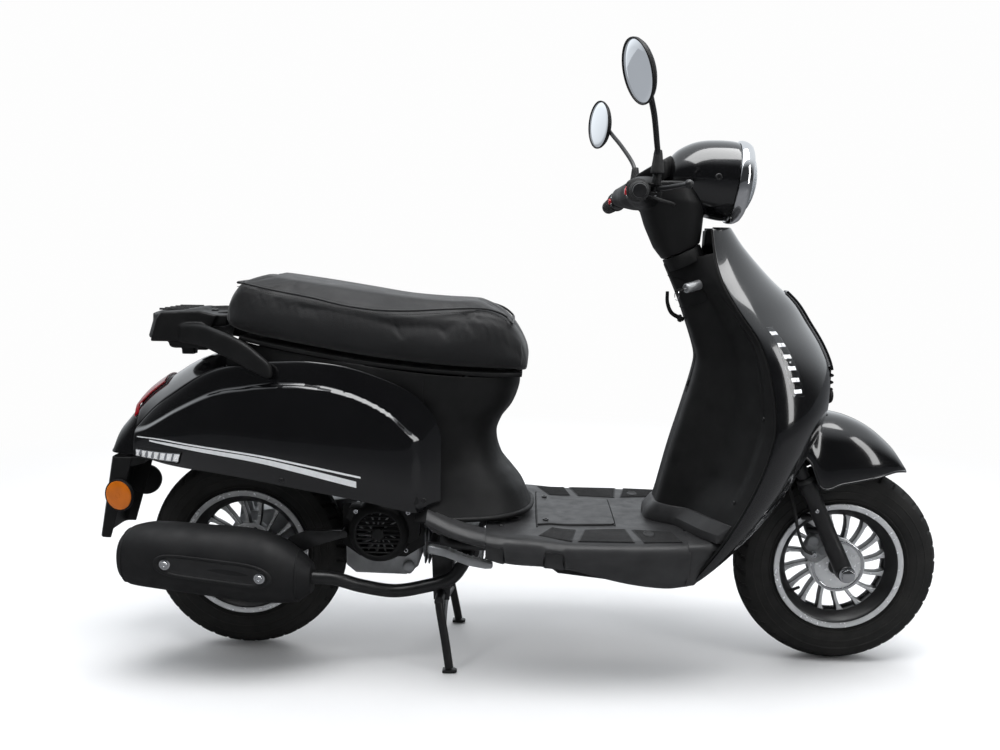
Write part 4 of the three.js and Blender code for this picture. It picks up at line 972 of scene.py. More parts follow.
cowl_half = curve([(332, 176), (382, 152), (442, 133), (492, 130), (560, 138), (620, 148)])
cowl_front = curve([
    (332, 30), (345, 24), (382, 8), (407, -11), (442, -38), (492, -50), (530, -38), (560, -16), (596, -2),
    (620, 0),
])
wall_low = curve([(-597, 114), (-552, 131), (-500, 138), (-430, 143), (-300, 150), (-212, 143), (-190, 143)])
wall_high = curve([(-597, 111), (-552, 131), (-500, 140), (-212, 147.6), (-190, 147.6)])
seat_low = curve([
    (-600, 727), (-588, 715), (-556, 703), (-493, 690), (-408, 675), (-323, 661), (-238, 650), (-154, 642),
    (-69, 637), (-15, 635), (8, 632), (20, 632),
])
panel_top = curve([
    (-815, 497), (-772, 538), (-728, 571), (-636, 626), (-546, 648), (-457, 655), (-418, 655), (-354, 648),
    (-290, 631), (-225, 604), (-182, 570), (-160, 535), (-153, 505),
])
panel_low = curve([
    (-815, 440), (-735, 432), (-691, 429), (-557, 420), (-432, 402), (-311, 381), (-250, 367), (-208, 357),
    (-190, 357), (-176, 369), (-153, 376),
])
panel_in = curve([
    (-815, 62), (-728, 98), (-636, 124), (-546, 142), (-457, 152), (-354, 160), (-225, 168), (-153, 166),
])
panel_out = curve([
    (-815, 76), (-728, 126), (-636, 160), (-546, 182), (-457, 194), (-354, 198), (-225, 192), (-153, 170),
])
ARCH_BAND = curve([
    (-815, 4), (-779, 20), (-744, 29), (-701, 34), (-628, 43), (-560, 47), (-462, 46), (-367, 49), (-304, 52),
    (-254, 58), (-223, 60), (-198, 46), (-175, 30), (-153, 28),
])
OUTLINE = [(x, panel_top(x)) for x in spread(-815, -153, 140)] + [(-153, z) for z in spread(505, 376, 20)]


def panel_inset(x, z):
    """How far a point on the panel lies inside its arched upper and front edge."""
    return min(math.hypot(x - a, z - b) for a, b in OUTLINE)


def panel_point(x, v, s, out=0.0):
    lift = panel_in(x) + (panel_out(x) - panel_in(x)) * math.sin(min(v * 1.25, 1) * math.pi / 2) ** 0.9
    tuck = (v - 0.8) * 30 if v > 0.8 else 0
    z = panel_top(x) + (panel_low(x) - panel_top(x)) * v
    step = 7.5 * smooth_step(ARCH_BAND(x) - 3.5, ARCH_BAND(x) + 3.5, panel_inset(x, z)) - 3
    step *= 1 - smooth_step(0.9, 1.0, v) * 0.5
    return V(x, s * (lift - tuck + step + out), z)


def panel_at(x, z, s, out=0.0):
    return panel_point(x, (panel_top(x) - z) / (panel_top(x) - panel_low(x)), s, out)


def make_side_panel(s, hand):
    stations = spread(-815, -153, 230)
    rows = [[panel_point(x, v, s) for v in spread(0, 1, 76)] for x in stations]
    piece(f"flank_{hand}", [sheet(rows, -3.5 * s)], gloss, "chassis", [f"side_panel_{hand}"],
          1.2)
    for name, line, width in (
        ("thin", [(-806, 481), (-750, 484), (-692, 482), (-536, 471), (-431, 455), (-309, 431)], (1.6, 4)),
        ("thick", [(-770, 478), (-692, 475), (-536, 462), (-431, 443), (-318, 416)], (2, 13)),
    ):
        path = spline([V(x, 0, z) for x, z in line], 90)
        shown = []
        for i, p in enumerate(path):
            reach = (width[0] + (width[1] - width[0]) * smooth_step(-20, 80, i)) / 2
            shown.append([panel_at(p.x, p.z + d * reach, s, 0.25) for d in (1, 0.33, -0.33, -1)])
        piece(f"stripe_{name}_{hand}", [sheet(shown, -0.5 * s)], stripe, "chassis", bevel=0)

    def strip_point(u, v, out):
        """A point on the rear marker strip: u along it from the tail, v down it."""
        x = -808 + 120 * u - 9 * v
        high, low = 457 + 5 * u, 436 + 3 * u
        return panel_at(x, high + (low - high) * v, s, out)

    strip = [[strip_point(u, v, 2.4) for v in spread(0.04, 0.96, 7)] for u in spread(0.02, 0.98, 24)]
    piece(f"rear_strip_{hand}", [sheet(strip, -2.2 * s)], clear_lens, "chassis", bevel=0.6)
    under = [[strip_point(u, v, 0.5) for v in spread(0, 1, 7)] for u in spread(0, 1, 24)]
    cells = []
    for n in range(7):
        a, b = n / 7 + 0.02, (n + 1) / 7 - 0.02
        foot = [strip_point(p, q, 0.6) for p, q in ((a, 0.15), (a, 0.85), (b, 0.85), (b, 0.15))]
        crest = [strip_point(p, q, 2.4) for p, q in ((a + 0.05, 0.5), (a + 0.06, 0.6), (b - 0.05, 0.6),
                                                     (b - 0.06, 0.5))]
        cells.append(loft([foot, crest]))
    # The cells glow with painted light in place of the studio light the clear cover holds back.
    piece(f"rear_strip_cells_{hand}", cells, cell, "chassis", bevel=0.2)
    piece(f"rear_strip_tray_{hand}", [sheet(under, -1.0 * s)], bright, "chassis", bevel=0.4)
    frame_line = [strip_point(u, 0, 1.2) for u in spread(0, 1, 16)] + [strip_point(1, v, 1.2)
            for v in (0.3, 0.7)]
    frame_line += [strip_point(u, 1, 1.2) for u in spread(1, 0, 16)] + [strip_point(0, v, 1.2)
            for v in (0.7, 0.3)]
    piece(f"rear_strip_rim_{hand}", [tube(frame_line, 1.6, 160, 8, closed=True)], dark_plastic, "chassis",
          bevel=0)
    for x, z in ((-186, 372), (-470, 412)):
        at = panel_at(x, z + 8, s, 0.4)
        piece(f"flank_screw_{hand}_{-x}", [bolt(at, Y * s, 5, 2.4)], dark, "chassis",
              bevel=0.3)


def make_cowl():
    rows = []
    for z in spread(620, 333, 80):
        row = []
        for t in spread(-math.pi / 2, math.pi / 2, 90):
            c = abs(math.cos(t)) ** (2 / 2.5)
            q = math.copysign(abs(math.sin(t)) ** (2 / 2.5), math.sin(t))
            x = -205 + (cowl_front(z) + 205) * c
            raised = z + (seat_low(x) - 11 - 620) * smooth_step(580, 620, z)
            row.append(V(x, cowl_half(z) * q, raised))
        rows.append(row)
    shells = [sheet(rows, 3.5)]
    for s in (1, -1):
        wall = []
        for x in spread(-190, -597, 90):
            low = V(x, s * wall_low(x), panel_top(x) - 12)
            high = V(x, s * wall_high(x), seat_low(x) - 11)
            wall.append([low.lerp(high, v) for v in spread(0, 1, 6)])
        shells.append(sheet(wall, 3.5 * s))
    piece("under_seat_cowl", shells, satin, "chassis", ["seat_cowl"], 1.0)
    # Raised collar where the cowl stands on the floor.
    collar = []
    for t in spread(-1.35, 1.35, 60):
        c, q = math.cos(t) ** 0.8, math.copysign(abs(math.sin(t)) ** 0.8, math.sin(t))
        collar.append(V(-205 + (cowl_front(345) + 213) * c, (cowl_half(345) + 8) * q, 338 + 3 * (1 - c)))
    piece("cowl_collar", [tube(collar, 5.5, 120, 12)], satin, "chassis", bevel=0)


def lip_tub(x0, x1, y, z0, z1, wall):
    outline = ring(V((x0 + x1) / 2, 0, 0), X, Y, (x1 - x0) / 2, y, 6, 64)
    inner = ring(V((x0 + x1) / 2, 0, 0), X, Y, (x1 - x0) / 2 - wall, y - wall, 6, 64)
    levels = [(outline, z0), (outline, z1 - 5)]
    flange = ring(V((x0 + x1) / 2, 0, 0), X, Y, (x1 - x0) / 2 + 4, y + 3, 6, 64)
    levels += [(flange, z1 - 5), (flange, z1), (inner, z1), (inner, z0 + wall)]
    return loft([[p + Z * z for p in line] for line, z in levels])


tail_crown = curve([(-882, 438), (-868, 478), (-846, 507), (-800, 561), (-748, 600), (-682, 640),
                    (-600, 664)])
tail_half = curve([
    (-882, 34), (-868, 50), (-846, 57), (-812, 58), (-795, 64), (-728, 98), (-636, 124), (-600, 131),
])


def tail_point(x, u, out=0.0):
    low = 437 if x < -815 else panel_top(x) - 1
    drop = (tail_crown(x) - low) * abs(u) ** 2.4
    return V(x - out * 0.6, u * (tail_half(x) - 4), tail_crown(x) - drop + out)


def make_tail():
    stations = [-600 - 282 * math.sin(t) ** 1.0 for t in spread(0, math.pi / 2, 70)]
    rows = [[tail_point(x, u) for u in spread(-1, 1, 61)] for x in stations]
    piece("tail_deck", [sheet(rows, -3.5)], gloss, "chassis", ["tail_cowl"], 1.2)
    lens = [[tail_point(x, u, 8 * math.cos(u * 1.5) ** 0.5) for u in spread(-0.56, 0.56, 33)]
            for x in spread(-751, -826, 40)]
    piece("tail_lens", [sheet(lens, -2.5)], red_lens, "chassis", ["tail_light"], 1.0)
    tray = [[tail_point(x, u, 1.4) for u in spread(-0.58, 0.58, 17)] for x in spread(-749, -828, 20)]
    piece("tail_tray", [sheet(tray, -1.5)], bright, "chassis", bevel=0.3)
    rim = [tail_point(x, 0.575, 2.4) for x in spread(-751, -826, 14)]
    rim += [tail_point(-828, u, 2.4) for u in spread(0.54, -0.54, 12)]
    rim += [tail_point(x, -0.575, 2.4) for x in spread(-826, -751, 14)]
    rim += [tail_point(-750, u, 2.4) for u in spread(-0.54, 0.54, 12)]
    piece("tail_rim", [tube(rim, 2.4, 160, 10, closed=True)], gloss, "chassis", bevel=0)

    rows = []
    for v in spread(0, 1, 24):
        x, z, deep = -868 - 32 * v, 432 - 178 * v, 44 - 22 * v
        line = [V(x + deep, -64, z), V(x + 14, -64, z), V(x + 5, -62.5, z), V(x + 1, -57, z), V(x, -48, z)]
        rows.append(line + [V(x, y, z) for y in spread(-36, 36, 7)] + [V(p.x, -p.y, p.z)
                for p in reversed(line)])
    hood = side([(-846, 431), (-828, 412), (-800, 420), (-788, 470), (-808, 470), (-814, 432)], -66, 66)
    piece("tail_guard", [sheet(rows, -4), hood], satin, "chassis", ["rear_mudguard"], 1.6,
          segments=3)
    for s, hand in ((-1, "right"), (1, "left")):
        way = V(-0.25, s, 0.02).normalized()
        at = V(-852, 66 * s, 350)
        cup = turned([(0, 0), (32, 0), (35, 3), (35, 8), (32.5, 9.5), (32, 7), (0, 7)], at, way, 64)
        piece(f"reflector_cup_{hand}", [cup], satin, "chassis", bevel=0.4)
        face = turned([(0, 7.4), (31.6, 7.4), (31.6, 9), (28, 10.4), (16, 11.4), (0, 11.8)], at, way, 64)
        piece(f"reflector_{hand}", [face], amber_lens, "chassis", bevel=0.3)
        rings = [turned([(r, 10.6), (r + 1.4, 10.6), (r + 1.4, 12.2 - r * 0.06), (r, 12.2 - r * 0.06)], at,
                        way, 48)
                 for r in (5, 10, 15, 20)]
        piece(f"reflector_rings_{hand}", rings, amber_lens, "chassis", bevel=0.2)
    for y in (-36, 36):
        at = V(-886, y, 330)
        piece(f"plate_screw_{'right' if y < 0 else 'left'}", [bolt(at, V(-0.984, 0, 0.177), 5, 3)], bright,
              "chassis",
              bevel=0.3)


def make_rack():
    deck = plan([(-752, -88), (-640, -96), (-606, -84), (-606, -40), (-640, -30), (-652, 0), (-640, 30),
                 (-606, 40),
                 (-606, 84), (-640, 96), (-752, 88), (-776, 48), (-786, 0), (-776, -48)], 718, 742)
    lip_line = [(-800, 692), (-786, 736), (-779, 744), (-764, 748), (-700, 751), (-692, 742), (-700, 690),
                (-790, 686)]
    lip = loft([[V(x + 4 + 34 * (y / 92) ** 2 * min(max((-700 - x) / 60, 0), 1), y, z) for x, z in lip_line]
                for y in spread(-92, 92, 17)])
    sides = [side([(-764, 686), (-749, 734), (-739, 747), (-660, 751), (-622, 742), (-640, 706), (-690, 686)],
                  92 * s - 9, 92 * s + 5) for s in (-1, 1)]
    keel = side([(-734, 713), (-730, 676), (-722, 671), (-658, 671), (-648, 680), (-640, 713)], -86, 86)
    shells = [deck, lip, keel, *sides]
    stations = [(-700, 92, 704, 14, 20), (-650, 114, 702, 13, 23), (-611, 138, 692, 12, 24),
                (-572, 154, 679, 11, 25),
                (-540, 164, 664, 11, 25), (-500, 171, 640, 9, 18)]
    for s in (-1, 1):
        path = spline([V(x, y * s, z) for x, y, z, a, b in stations], 30)
        sizes = spline([V(a, b, 0) for x, y, z, a, b in stations], 30)
        rings = [ring(p, Y, Z, q.x, q.y, 3.5, 32) for p, q in zip(path, sizes)]
        end = rings[-1][0] * 0
        for p in rings[-1]:
            end += p
        end /= 32
        for share, ahead in ((0.86, 5), (0.55, 9), (0.2, 11)):
            rings.append([end + (p - end) * share + V(ahead, 0, -ahead * 0.5) for p in rings[29]])
        shells.append(loft(rings))
        shells.append(box(-716, -688, 40 * s - 12, 40 * s + 12, 655, 690))
    piece("grab_rack", [fused(shells, 2.6, 10)], satin, "chassis", ["rear_rack"], 0)
    ribs = []
    for n in range(5):
        y = -60 + 30 * n
        ribs.append(loft([[V(x, y - 3, 749), V(x, y - 2, 753), V(x, y + 2, 753), V(x, y + 3, 749)]
                          for x in spread(-756, -704, 8)]))
    piece("rack_ribs", ribs, mat_plastic_painted_sheen, "chassis", bevel=0.4)
    for s, hand in ((-1, "right"), (1, "left")):
        piece(f"rack_bolt_{hand}", [bolt(V(-672, 40 * s, 741), Z, 8, 5)], dark, "chassis",
              bevel=0.4)


for hand_sign, hand_name in ((-1, "right"), (1, "left")):
    make_side_panel(hand_sign, hand_name)
make_cowl()
piece("bucket", [lip_tub(-388, -126, 97, 438, 616, 3)], satin, "chassis", ["luggage_bucket"],
      1.0)
tank_outline = ring(V(-542, 0, 0), X, Y, 112, 68, 5, 64)
piece(
    "tank",
    [loft([[V(-542 + (p.x + 542) * k, p.y * k, z) for p in tank_outline]
           for z, k in ((510, 0.9), (514, 0.96), (522, 1), (545, 1), (546, 1.02), (552, 1.02), (553, 1),
                        (578, 1), (586, 0.96), (590, 0.88))])],
    dark, "chassis", ["fuel_tank"], 0.5,
)
make_tail()
make_rack()

# ---------------------------------------------------------------- seat

seat_half = curve([
    (-600, 112), (-588, 136), (-560, 152), (-480, 161), (-400, 162), (-320, 160), (-240, 156), (-160, 152),
    (-90, 146), (-45, 138), (-15, 127), (8, 104), (20, 74),
])
seat_top = curve([
    (-600, 752), (-590, 782), (-576, 808), (-562, 823), (-530, 823), (-480, 817), (-400, 806), (-320, 794),
    (-240, 782), (-160, 776),
    (-90, 773), (-45, 765), (-15, 743), (8, 706), (20, 668),
])
piping_height = curve([
    (-563, 812), (-493, 798), (-409, 783), (-345, 769), (-282, 761), (-218, 760),
    (-155, 763), (-92, 765), (-59, 762), (-29, 750), (-12, 732),
])
SQUARENESS = 4.2
SWELL_CAP = 9


def cushion_shell(inset):
    rings = []
    for x in [-600 + 6 * k for k in range(0, 104)]:
        x = min(x, 18)
        top, low = seat_top(x) - inset * 0.5, seat_low(x) + 1
        crown = ring(V(x, 0, (top + low) / 2), Y, Z, seat_half(x) - inset, (top - low) / 2, SQUARENESS, 72)
        rings.append(crown)
    return loft(rings)


def puffed(shell):
    """The cushion's cover, blown up a little by a cloth simulation and held within a cap."""
    points, faces = fused([shell], 5.0, 4)
    data = bpy.data.meshes.new("cover")
    data.from_pydata([tuple(Vector(p) * MM) for p in points], [], faces)
    cover = bpy.data.objects.new("cover", data)
    scene = bpy.context.scene
    scene.collection.objects.link(cover)
    start = [v.co.copy() for v in data.vertices]
    pins = cover.vertex_groups.new(name="base")
    held = [v.index for v in data.vertices if v.co.z < (seat_low(v.co.x / MM) + 12) * MM]
    pins.add(held, 1.0, "REPLACE")
    cloth = cover.modifiers.new("cloth", "CLOTH")
    cloth.settings.use_pressure = True
    cloth.settings.uniform_pressure_force = 4.0
    cloth.settings.effector_weights.gravity = 0
    cloth.settings.vertex_group_mass = "base"
    cloth.settings.quality = 6
    cloth.point_cache.frame_start = 1
    cloth.point_cache.frame_end = 20
    for step in range(1, 21):
        scene.frame_set(step)
    moved = cover.evaluated_get(bpy.context.evaluated_depsgraph_get())
    ends = [v.co.copy() for v in moved.data.vertices]
    cover.modifiers.remove(cloth)
    scene.frame_set(1)
    for vertex, a, b in zip(data.vertices, start, ends):
        shift = b - a
        if shift.length > SWELL_CAP * MM:
            shift *= SWELL_CAP * MM / shift.length
        vertex.co = a + shift
    result = [v.co / MM for v in data.vertices]
    bpy.data.objects.remove(cover)
    return result, faces


def make_seat():
    points, faces = puffed(cushion_shell(6))
    data = bpy.data.meshes.new("cushion")
    shaped = []
    for p in points:
        p = Vector(p)
        # Pulled in along the top seam, and creased gently across the step between the two places.
        height = (p.z - seat_low(p.x)) / max(seat_top(p.x) - seat_low(p.x), 1)
        seam = math.exp(-(((height - 0.8) / 0.045) ** 2)) * smooth_step(60, 110, abs(p.y))
        p.y -= math.copysign(1.6 * seam, p.y)
        wrinkle = 0.7 * math.sin(p.x * 0.21 + p.z * 0.05) * math.exp(-(((height - 0.62) / 0.12) ** 2))
        p.y += math.copysign(wrinkle * smooth_step(90, 120, abs(p.y)), p.y)
        shaped.append(tuple(p * MM))
    data.from_pydata(shaped, [], faces)
    cushion = finished("cushion", data, vinyl, "seat", ["seat_cushion"], 80)
    divide = cushion.modifiers.new("divide", "SUBSURF")
    divide.levels = divide.render_levels = 1

    def edge_line(drop, out, low_x=-563, high_x=-14, count=54):
        """Line round the cushion a little below its upper seam, right side then left."""
        line = []
        for s in (-1, 1):
            xs = spread(low_x, high_x, count) if s < 0 else spread(high_x, low_x, count)
            for x in xs:
                top, low = seat_top(x), seat_low(x)
                z = min(piping_height(x), top - 5) - drop
                q = min(abs(z - (top + low) / 2) / ((top - low) / 2), 0.999)
                reach = (1 - q**SQUARENESS) ** (1 / SQUARENESS)
                line.append(V(x, s * (seat_half(x) * reach + out), z))
        return line

    piping = tube(edge_line(0, -1.6), 2.4, 380, 10, closed=True)
    piece("seat_piping", [piping], vinyl, "seat", bevel=0)
    stitches = []
    line = spline(edge_line(7, -0.8), 460, True)
    for a, b in zip(line[::2], line[1::2]):
        if (b - a).length < 12:
            stitches.append(tube([a, a.lerp(b, 0.5) + V(0, math.copysign(0.5, a.y), 0), b], 0.7, 5, 6))
    piece("seat_stitches", stitches, grip_look, "seat", bevel=0)
    base = [[V(x, y * (seat_half(x) - 12), seat_low(x) - 1.2) for y in spread(-1, 1, 25)]
            for x in spread(-565, 8, 60)]
    piece("seat_base", [sheet(base, -8)], satin, "seat", ["seat_pan"], 1.4)


make_seat()

# ---------------------------------------------------------------- fender and fork

fender_crown = curve([(580, 552), (610, 555), (650, 551), (701, 541), (748, 519), (793, 481), (812, 456),
                      (826, 436)])
fender_low = curve([(580, 474), (605, 455), (630, 402), (674, 411), (748, 424), (790, 432), (812, 430),
                    (826, 426)])
fender_half = curve([(580, 101), (650, 101), (701, 98), (748, 88), (793, 68), (812, 54), (826, 38)])


def fender_point(x, t, out=0.0):
    c = -math.cos(t)
    flat = math.copysign(abs(c) ** (2 / 2.6), c)
    rise = math.sin(t) ** (2 / 2.2)
    return V(x, (fender_half(x) + out) * flat, fender_low(x) + (fender_crown(x) - fender_low(x) + out) * rise)


def make_fender():
    rows = [[fender_point(x, t) for t in spread(0, math.pi, 70)]
            for x in [580 + 246 * math.sin(q) for q in spread(0, math.pi / 2, 70)]]
    piece("mudguard", [sheet(rows, -3.5)], gloss, "front_end", ["front_fender"], 1.2)
    for end, name in ((0.0, "right"), (math.pi, "left")):
        lip = [fender_point(x, end) + V(0, 0, 1) for x in spread(582, 822, 40)]
        piece(f"mudguard_lip_{name}", [tube(lip, 2.4, 90, 10)], gloss, "front_end", bevel=0)


def make_fork():
    crown_z = 560
    stem = rod(on_axis(552), on_axis(978), 15)
    collar = turned([(0, -24), (25, -24), (28, -20), (28, 20), (25, 24), (0, 24)], on_axis(crown_z),
                    STEER_UP, 48)
    tilt = V(math.cos(RAKE), 0, math.sin(RAKE))
    bridge = loft([ring(leg(s, 378), tilt, STEER_UP, 20, 13, 4, 40) for s in (1, -1)])
    web = loft([ring(p, Y, STEER_UP, 52, 12, 4, 40) for p in (on_axis(crown_z + 4), leg(0, 378))])
    tongue = box(500, 612, -16, 16, 540, 546)
    bars = [rod(leg(s, 108), leg(s, 392), 13.5) for s in (1, -1)]
    piece("fork_crown", [stem, collar, bridge, web, tongue], dark, "front_end",
          ["fork_stem"], 1.2)
    piece("stanchions", bars, dark, "front_end", bevel=0.8)
    for s, hand in ((1, "left"), (-1, "right")):
        axle = Vector(FRONT_AXLE)
        profile = [(0, -8), (16, -8), (18.5, -4), (18.5, 60), (17.6, 66), (17.6, 184), (20, 190), (20, 212),
                   (18, 216),
                   (14.6, 216), (14.6, 200), (0, 200)]
        shells = [turned(profile, leg(s, 0), STEER_UP, 56)]
        boss_profile = [(0, 0), (16, 0), (18, 2), (18, 36), (16, 38), (0, 38)]
        shells.append(turned(boss_profile, axle + V(0, (LEG_Y - 18) * s, 0), Y * s, 48))
        if s < 0:
            for along in (96, 128):
                p = leg(-1, along)
                shells.append(rod(p + V(-8, 8, 0), p + V(-34, 24, -4), 7))
        piece(f"slider_{hand}", shells, dark, "fork_lower", [f"fork_slider_{hand}"], 0.8)
        seal = turned([(14, 214), (19, 214), (19, 219), (16, 224), (14, 224)], leg(s, 0), STEER_UP, 48)
        piece(f"fork_seal_{hand}", [seal], grip_look, "fork_lower", bevel=0.4)
        piece(f"fork_bolt_{hand}", [bolt(leg(s, 150) + V(-6, 17 * s, 0), Y * s, 4.5, 3)], bright,
              "fork_lower", bevel=0.2)
    nuts = [rod(V(695, -104, 216), V(695, 104, 216), 8)]
    for s in (-1, 1):
        hexagon = ring(V(695, 96 * s, 216), X, Z, 14, 14, 2, 6)
        nuts.append(loft([hexagon, [p + V(0, 11 * s, 0) for p in hexagon]]))
        nuts.append(turned([(0, 0), (17, 0), (17, 2), (0, 2)], V(695, 94.5 * s, 216), Y * s, 40))
    piece("axle", nuts, bright, "fork_lower", ["front_axle"], 0.8)
    outline = [(640, 300), (654, 294), (676, 264), (664, 241), (640, 226), (613, 244), (618, 272)]
    centre = (644, 264)
    body = loft([[V(centre[0] + (x - centre[0]) * k, y, centre[1] + (z - centre[1]) * k) for x, z in
                  [(p.x, p.z) for p in spline([V(a, 0, b) for a, b in outline], 42, True)]]
                 for y, k in ((-60, 0.72), (-58, 0.86), (-54, 0.96), (-40, 1.0))])
    fingers = side([(640, 292), (662, 268), (655, 244), (640, 234), (628, 250), (630, 276)], -40, -36)
    pots = [turned([(0, 0), (13, 0), (13, 3), (10, 4.5), (8, 3.6), (0, 3.6)], V(x, -57, z), -Y, 40)
            for x, z in ((633, 276), (654, 256))]
    piece("caliper", [body, fingers, *pots], castings, "fork_lower", ["brake_caliper"], 1.2)
    banjo = [turned([(0, 0), (7, 0), (7, 9), (0, 9)], V(632, -60, 250), -Y, 28),
             bolt(V(632, -69, 250), -Y, 5, 4)]
    piece("hose_banjo", banjo, bright, "fork_lower", bevel=0.4)


def make_hose():
    """Brake hose from the caliper up behind the right fork leg to the crown, then into the column."""
    route = [(632, -66, 250), (612, -70, 262), (596, -72, 300), (584, -66, 360), (566, -52, 430),
             (548, -44, 500),
             (516, -36, 560), (482, -26, 600)]
    hose = piece("brake_hose", [tube(route, 3.4, 120, 14)], grip_look, None, bevel=0)
    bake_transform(hose)


make_fender()
make_fork()
make_hose()

# ---------------------------------------------------------------- wheels

TREAD_PITCHES = 40
TREAD_DEPTH = 3.4
tyre_line = [(129, -30), (129, -36), (136, -36.5), (143, -37), (148, -40.5), (152, -42.5), (160, -44.6),
             (172, -45), (186, -43.6), (197, -40.6)]


def tread_height(pitch, across):
    """0 in a groove and 1 on a block, for a place in the repeating pattern."""
    p = pitch % 1.0
    a = abs(across)
    middle = 0.05 * math.sin(2 * math.pi * pitch)
    if abs(across - middle) < 0.045:
        return 0
    if 0.3 < a < 0.38:
        return 0
    shift = 0.5 if across > 0 else 0.0
    slant = (p + shift - a * 0.55) % 1.0
    if a > 0.38 and slant < 0.24:
        return 0
    if a < 0.3 and (slant * 1.0) < 0.14 and a > 0.1:
        return 0
    return 1


def make_tyre(name, node, centre, body):
    around = TREAD_PITCHES * 10
    across = 44
    rings = []
    edge_r, edge_y = 199, 39.6
    for i in range(around):
        t = 2 * math.pi * i / around
        way = V(math.cos(t), 0, math.sin(t))
        line = [(r, y) for r, y in tyre_line]
        for k in range(across + 1):
            u = -1 + 2 * k / across
            base_r = edge_r + (TYRE_R - TREAD_DEPTH + 2.6 - edge_r) * (1 - abs(u) ** 2.3)
            y = edge_y * u * (1 - 0.06 * (1 - abs(u)))
            step = tread_height(i / 10, u)
            fade = 1 - smooth_step(0.94, 1.0, abs(u))
            line.append((base_r + TREAD_DEPTH * step * fade - 2.6 * fade, y))
        line += [(r, -y) for r, y in reversed(tyre_line)]
        line += [(152, 33), (188, 33), (205, 14), (205, -14), (188, -33), (152, -33)]
        rings.append([Vector(centre) + way * r + V(0, y, 0) for r, y in line])
    shell = loft(rings, closed=True)
    shells = [shell]
    for s in (-1, 1):
        for radius in (147.5, 166, 183):
            y = 42 if radius == 147.5 else (45.1 if radius == 166 else 44.2)
            bead = [Vector(centre) + V(math.cos(t) * radius, s * (y - 0.6), math.sin(t) * radius)
                    for t in [2 * math.pi * k / 72 for k in range(72)]]
            shells.append(tube(bead, 1.3, 144, 8, closed=True))
    piece(name, shells, rubber, body, [node], 0)


def make_rim(name, node, centre, body, hub_half):
    c = Vector(centre)
    lip = [(138, 41.5), (139, 40), (139, 36), (133, 33), (126, 30), (118, 16), (114, 14)]
    flip = [(r, -y) for r, y in reversed(lip)]
    back = [(108, -14), (112, -20), (122, -37), (127, -41), (127, 41), (122, 37), (112, 20), (108, 14)]
    band = turned(lip + flip + back[:4] + back[4:], c, Y, 120)
    hub = turned([(8.8, hub_half), (30, hub_half), (34, 14), (36, 12), (36, -12), (34, -14),
                  (30, -hub_half), (8.8, -hub_half)], c, Y, 72)
    spokes, faces = [], []
    for n in range(16):
        def outline(grow, inner=34, outer=113):
            left, right = [], []
            for r in spread(inner, outer, 12):
                share = (r - 32) / 79
                turn = math.radians(n * 22.5 + 10 * share**1.35)
                half = (5.2 - 1.6 * math.sin(math.pi * share)) * grow
                half += 4.0 * smooth_step(0.86, 1.0, share) * grow
                for store, s in ((left, -1), (right, 1)):
                    store.append((r * math.cos(turn + s * half / r), r * math.sin(turn + s * half / r)))
            return left + right[::-1]

        spokes.append(loft([[c + V(x, y, z) for x, z in outline(k)] for y, k in ((-10, 0.8), (-6, 1),
                (6, 1), (10, 0.8))]))
        for s in (-1, 1):
            faces.append(loft([[c + V(x, y * s, z) for x, z in outline(k, 36, 112)]
                               for y, k in ((9.4, 0.82), (11.0, 0.8), (11.6, 0.66))]))
    piece(name, [band, hub, *spokes], dark, body, [node], 0.7)
    piece(f"{name}_spoke_faces", faces, machined, body, bevel=0)
    trims = []
    for s in (-1, 1):
        trims.append(turned([(126.5, 41.2 * s), (137.2, 42.2 * s), (138.6, 41 * s), (138.8, 37.6 * s),
                             (127, 38.4 * s)], c, Y, 144))
        trims.append(turned([(108.6, 13 * s), (113, 16.6 * s), (116, 18.5 * s), (115, 15 * s),
                             (110, 12.6 * s)], c, Y, 120))
        trims.append(turned([(36.5, 9 * s), (57, 9 * s), (57, 11.6 * s), (55, 12.8 * s), (39, 12.8 * s),
                             (36.5, 11.6 * s)], c, Y, 96))
    piece(f"{name}_polished_rings", trims, machined, body, bevel=0.4)
    caps = []
    for n in range(5):
        t = 2 * math.pi * n / 5
        for s in (-1, 1):
            caps.append(bolt(c + V(46 * math.cos(t), 12.6 * s, 46 * math.sin(t)), Y * s, 4.6, 3.4))
    piece(f"{name}_hub_bolts", caps, dark, body, bevel=0.2)
    angle = math.radians(214)
    way = V(math.cos(angle), 0, math.sin(angle))
    start = c + way * 119 + V(0, -20, 0)
    valve = tube([start, start - way * 12 + V(0, -3, 0), start - way * 20 + V(0, -6, 0)],
                 lambda t: 4.2 - 1.2 * t, 16, 14)
    cap = rod(start - way * 19 + V(0, -5.6, 0), start - way * 26 + V(0, -8.5, 0), 3.4, 3.0, 18)
    piece(f"{name}_valve", [valve, cap], grip_look, body, bevel=0.3)


def make_disc():
    c = Vector(FRONT_AXLE)
    disc = turned([(20, -26.6), (34, -26.6), (34, -32), (58, -32), (58, -35), (20, -35)], c, Y, 96)
    piece("disc", [disc], machined, "front_wheel", ["brake_disc"], 0.4)
    ring_line = turned([(50, -34.8), (56, -34.8), (56, -36.2), (54.5, -36.8), (51.5, -36.8), (50, -36.2)],
                       c, Y, 96)
    piece("disc_ring", [ring_line], bright, "front_wheel", bevel=0.2)


make_tyre("tyre_front", "front_tyre", FRONT_AXLE, "front_wheel")
make_tyre("tyre_rear", "rear_tyre", REAR_AXLE, "rear_wheel")
make_rim("wheel_front", "front_rim", FRONT_AXLE, "front_wheel", 26)
make_rim("wheel_rear", "rear_rim", REAR_AXLE, "rear_wheel", 34)
make_disc()

# ---------------------------------------------------------------- handlebar and controls


def bar_way(s):
    return V(GRIP_OUT[0] - GRIP_IN[0], (GRIP_OUT[1] - GRIP_IN[1]) * s, GRIP_OUT[2] - GRIP_IN[2]).normalized()


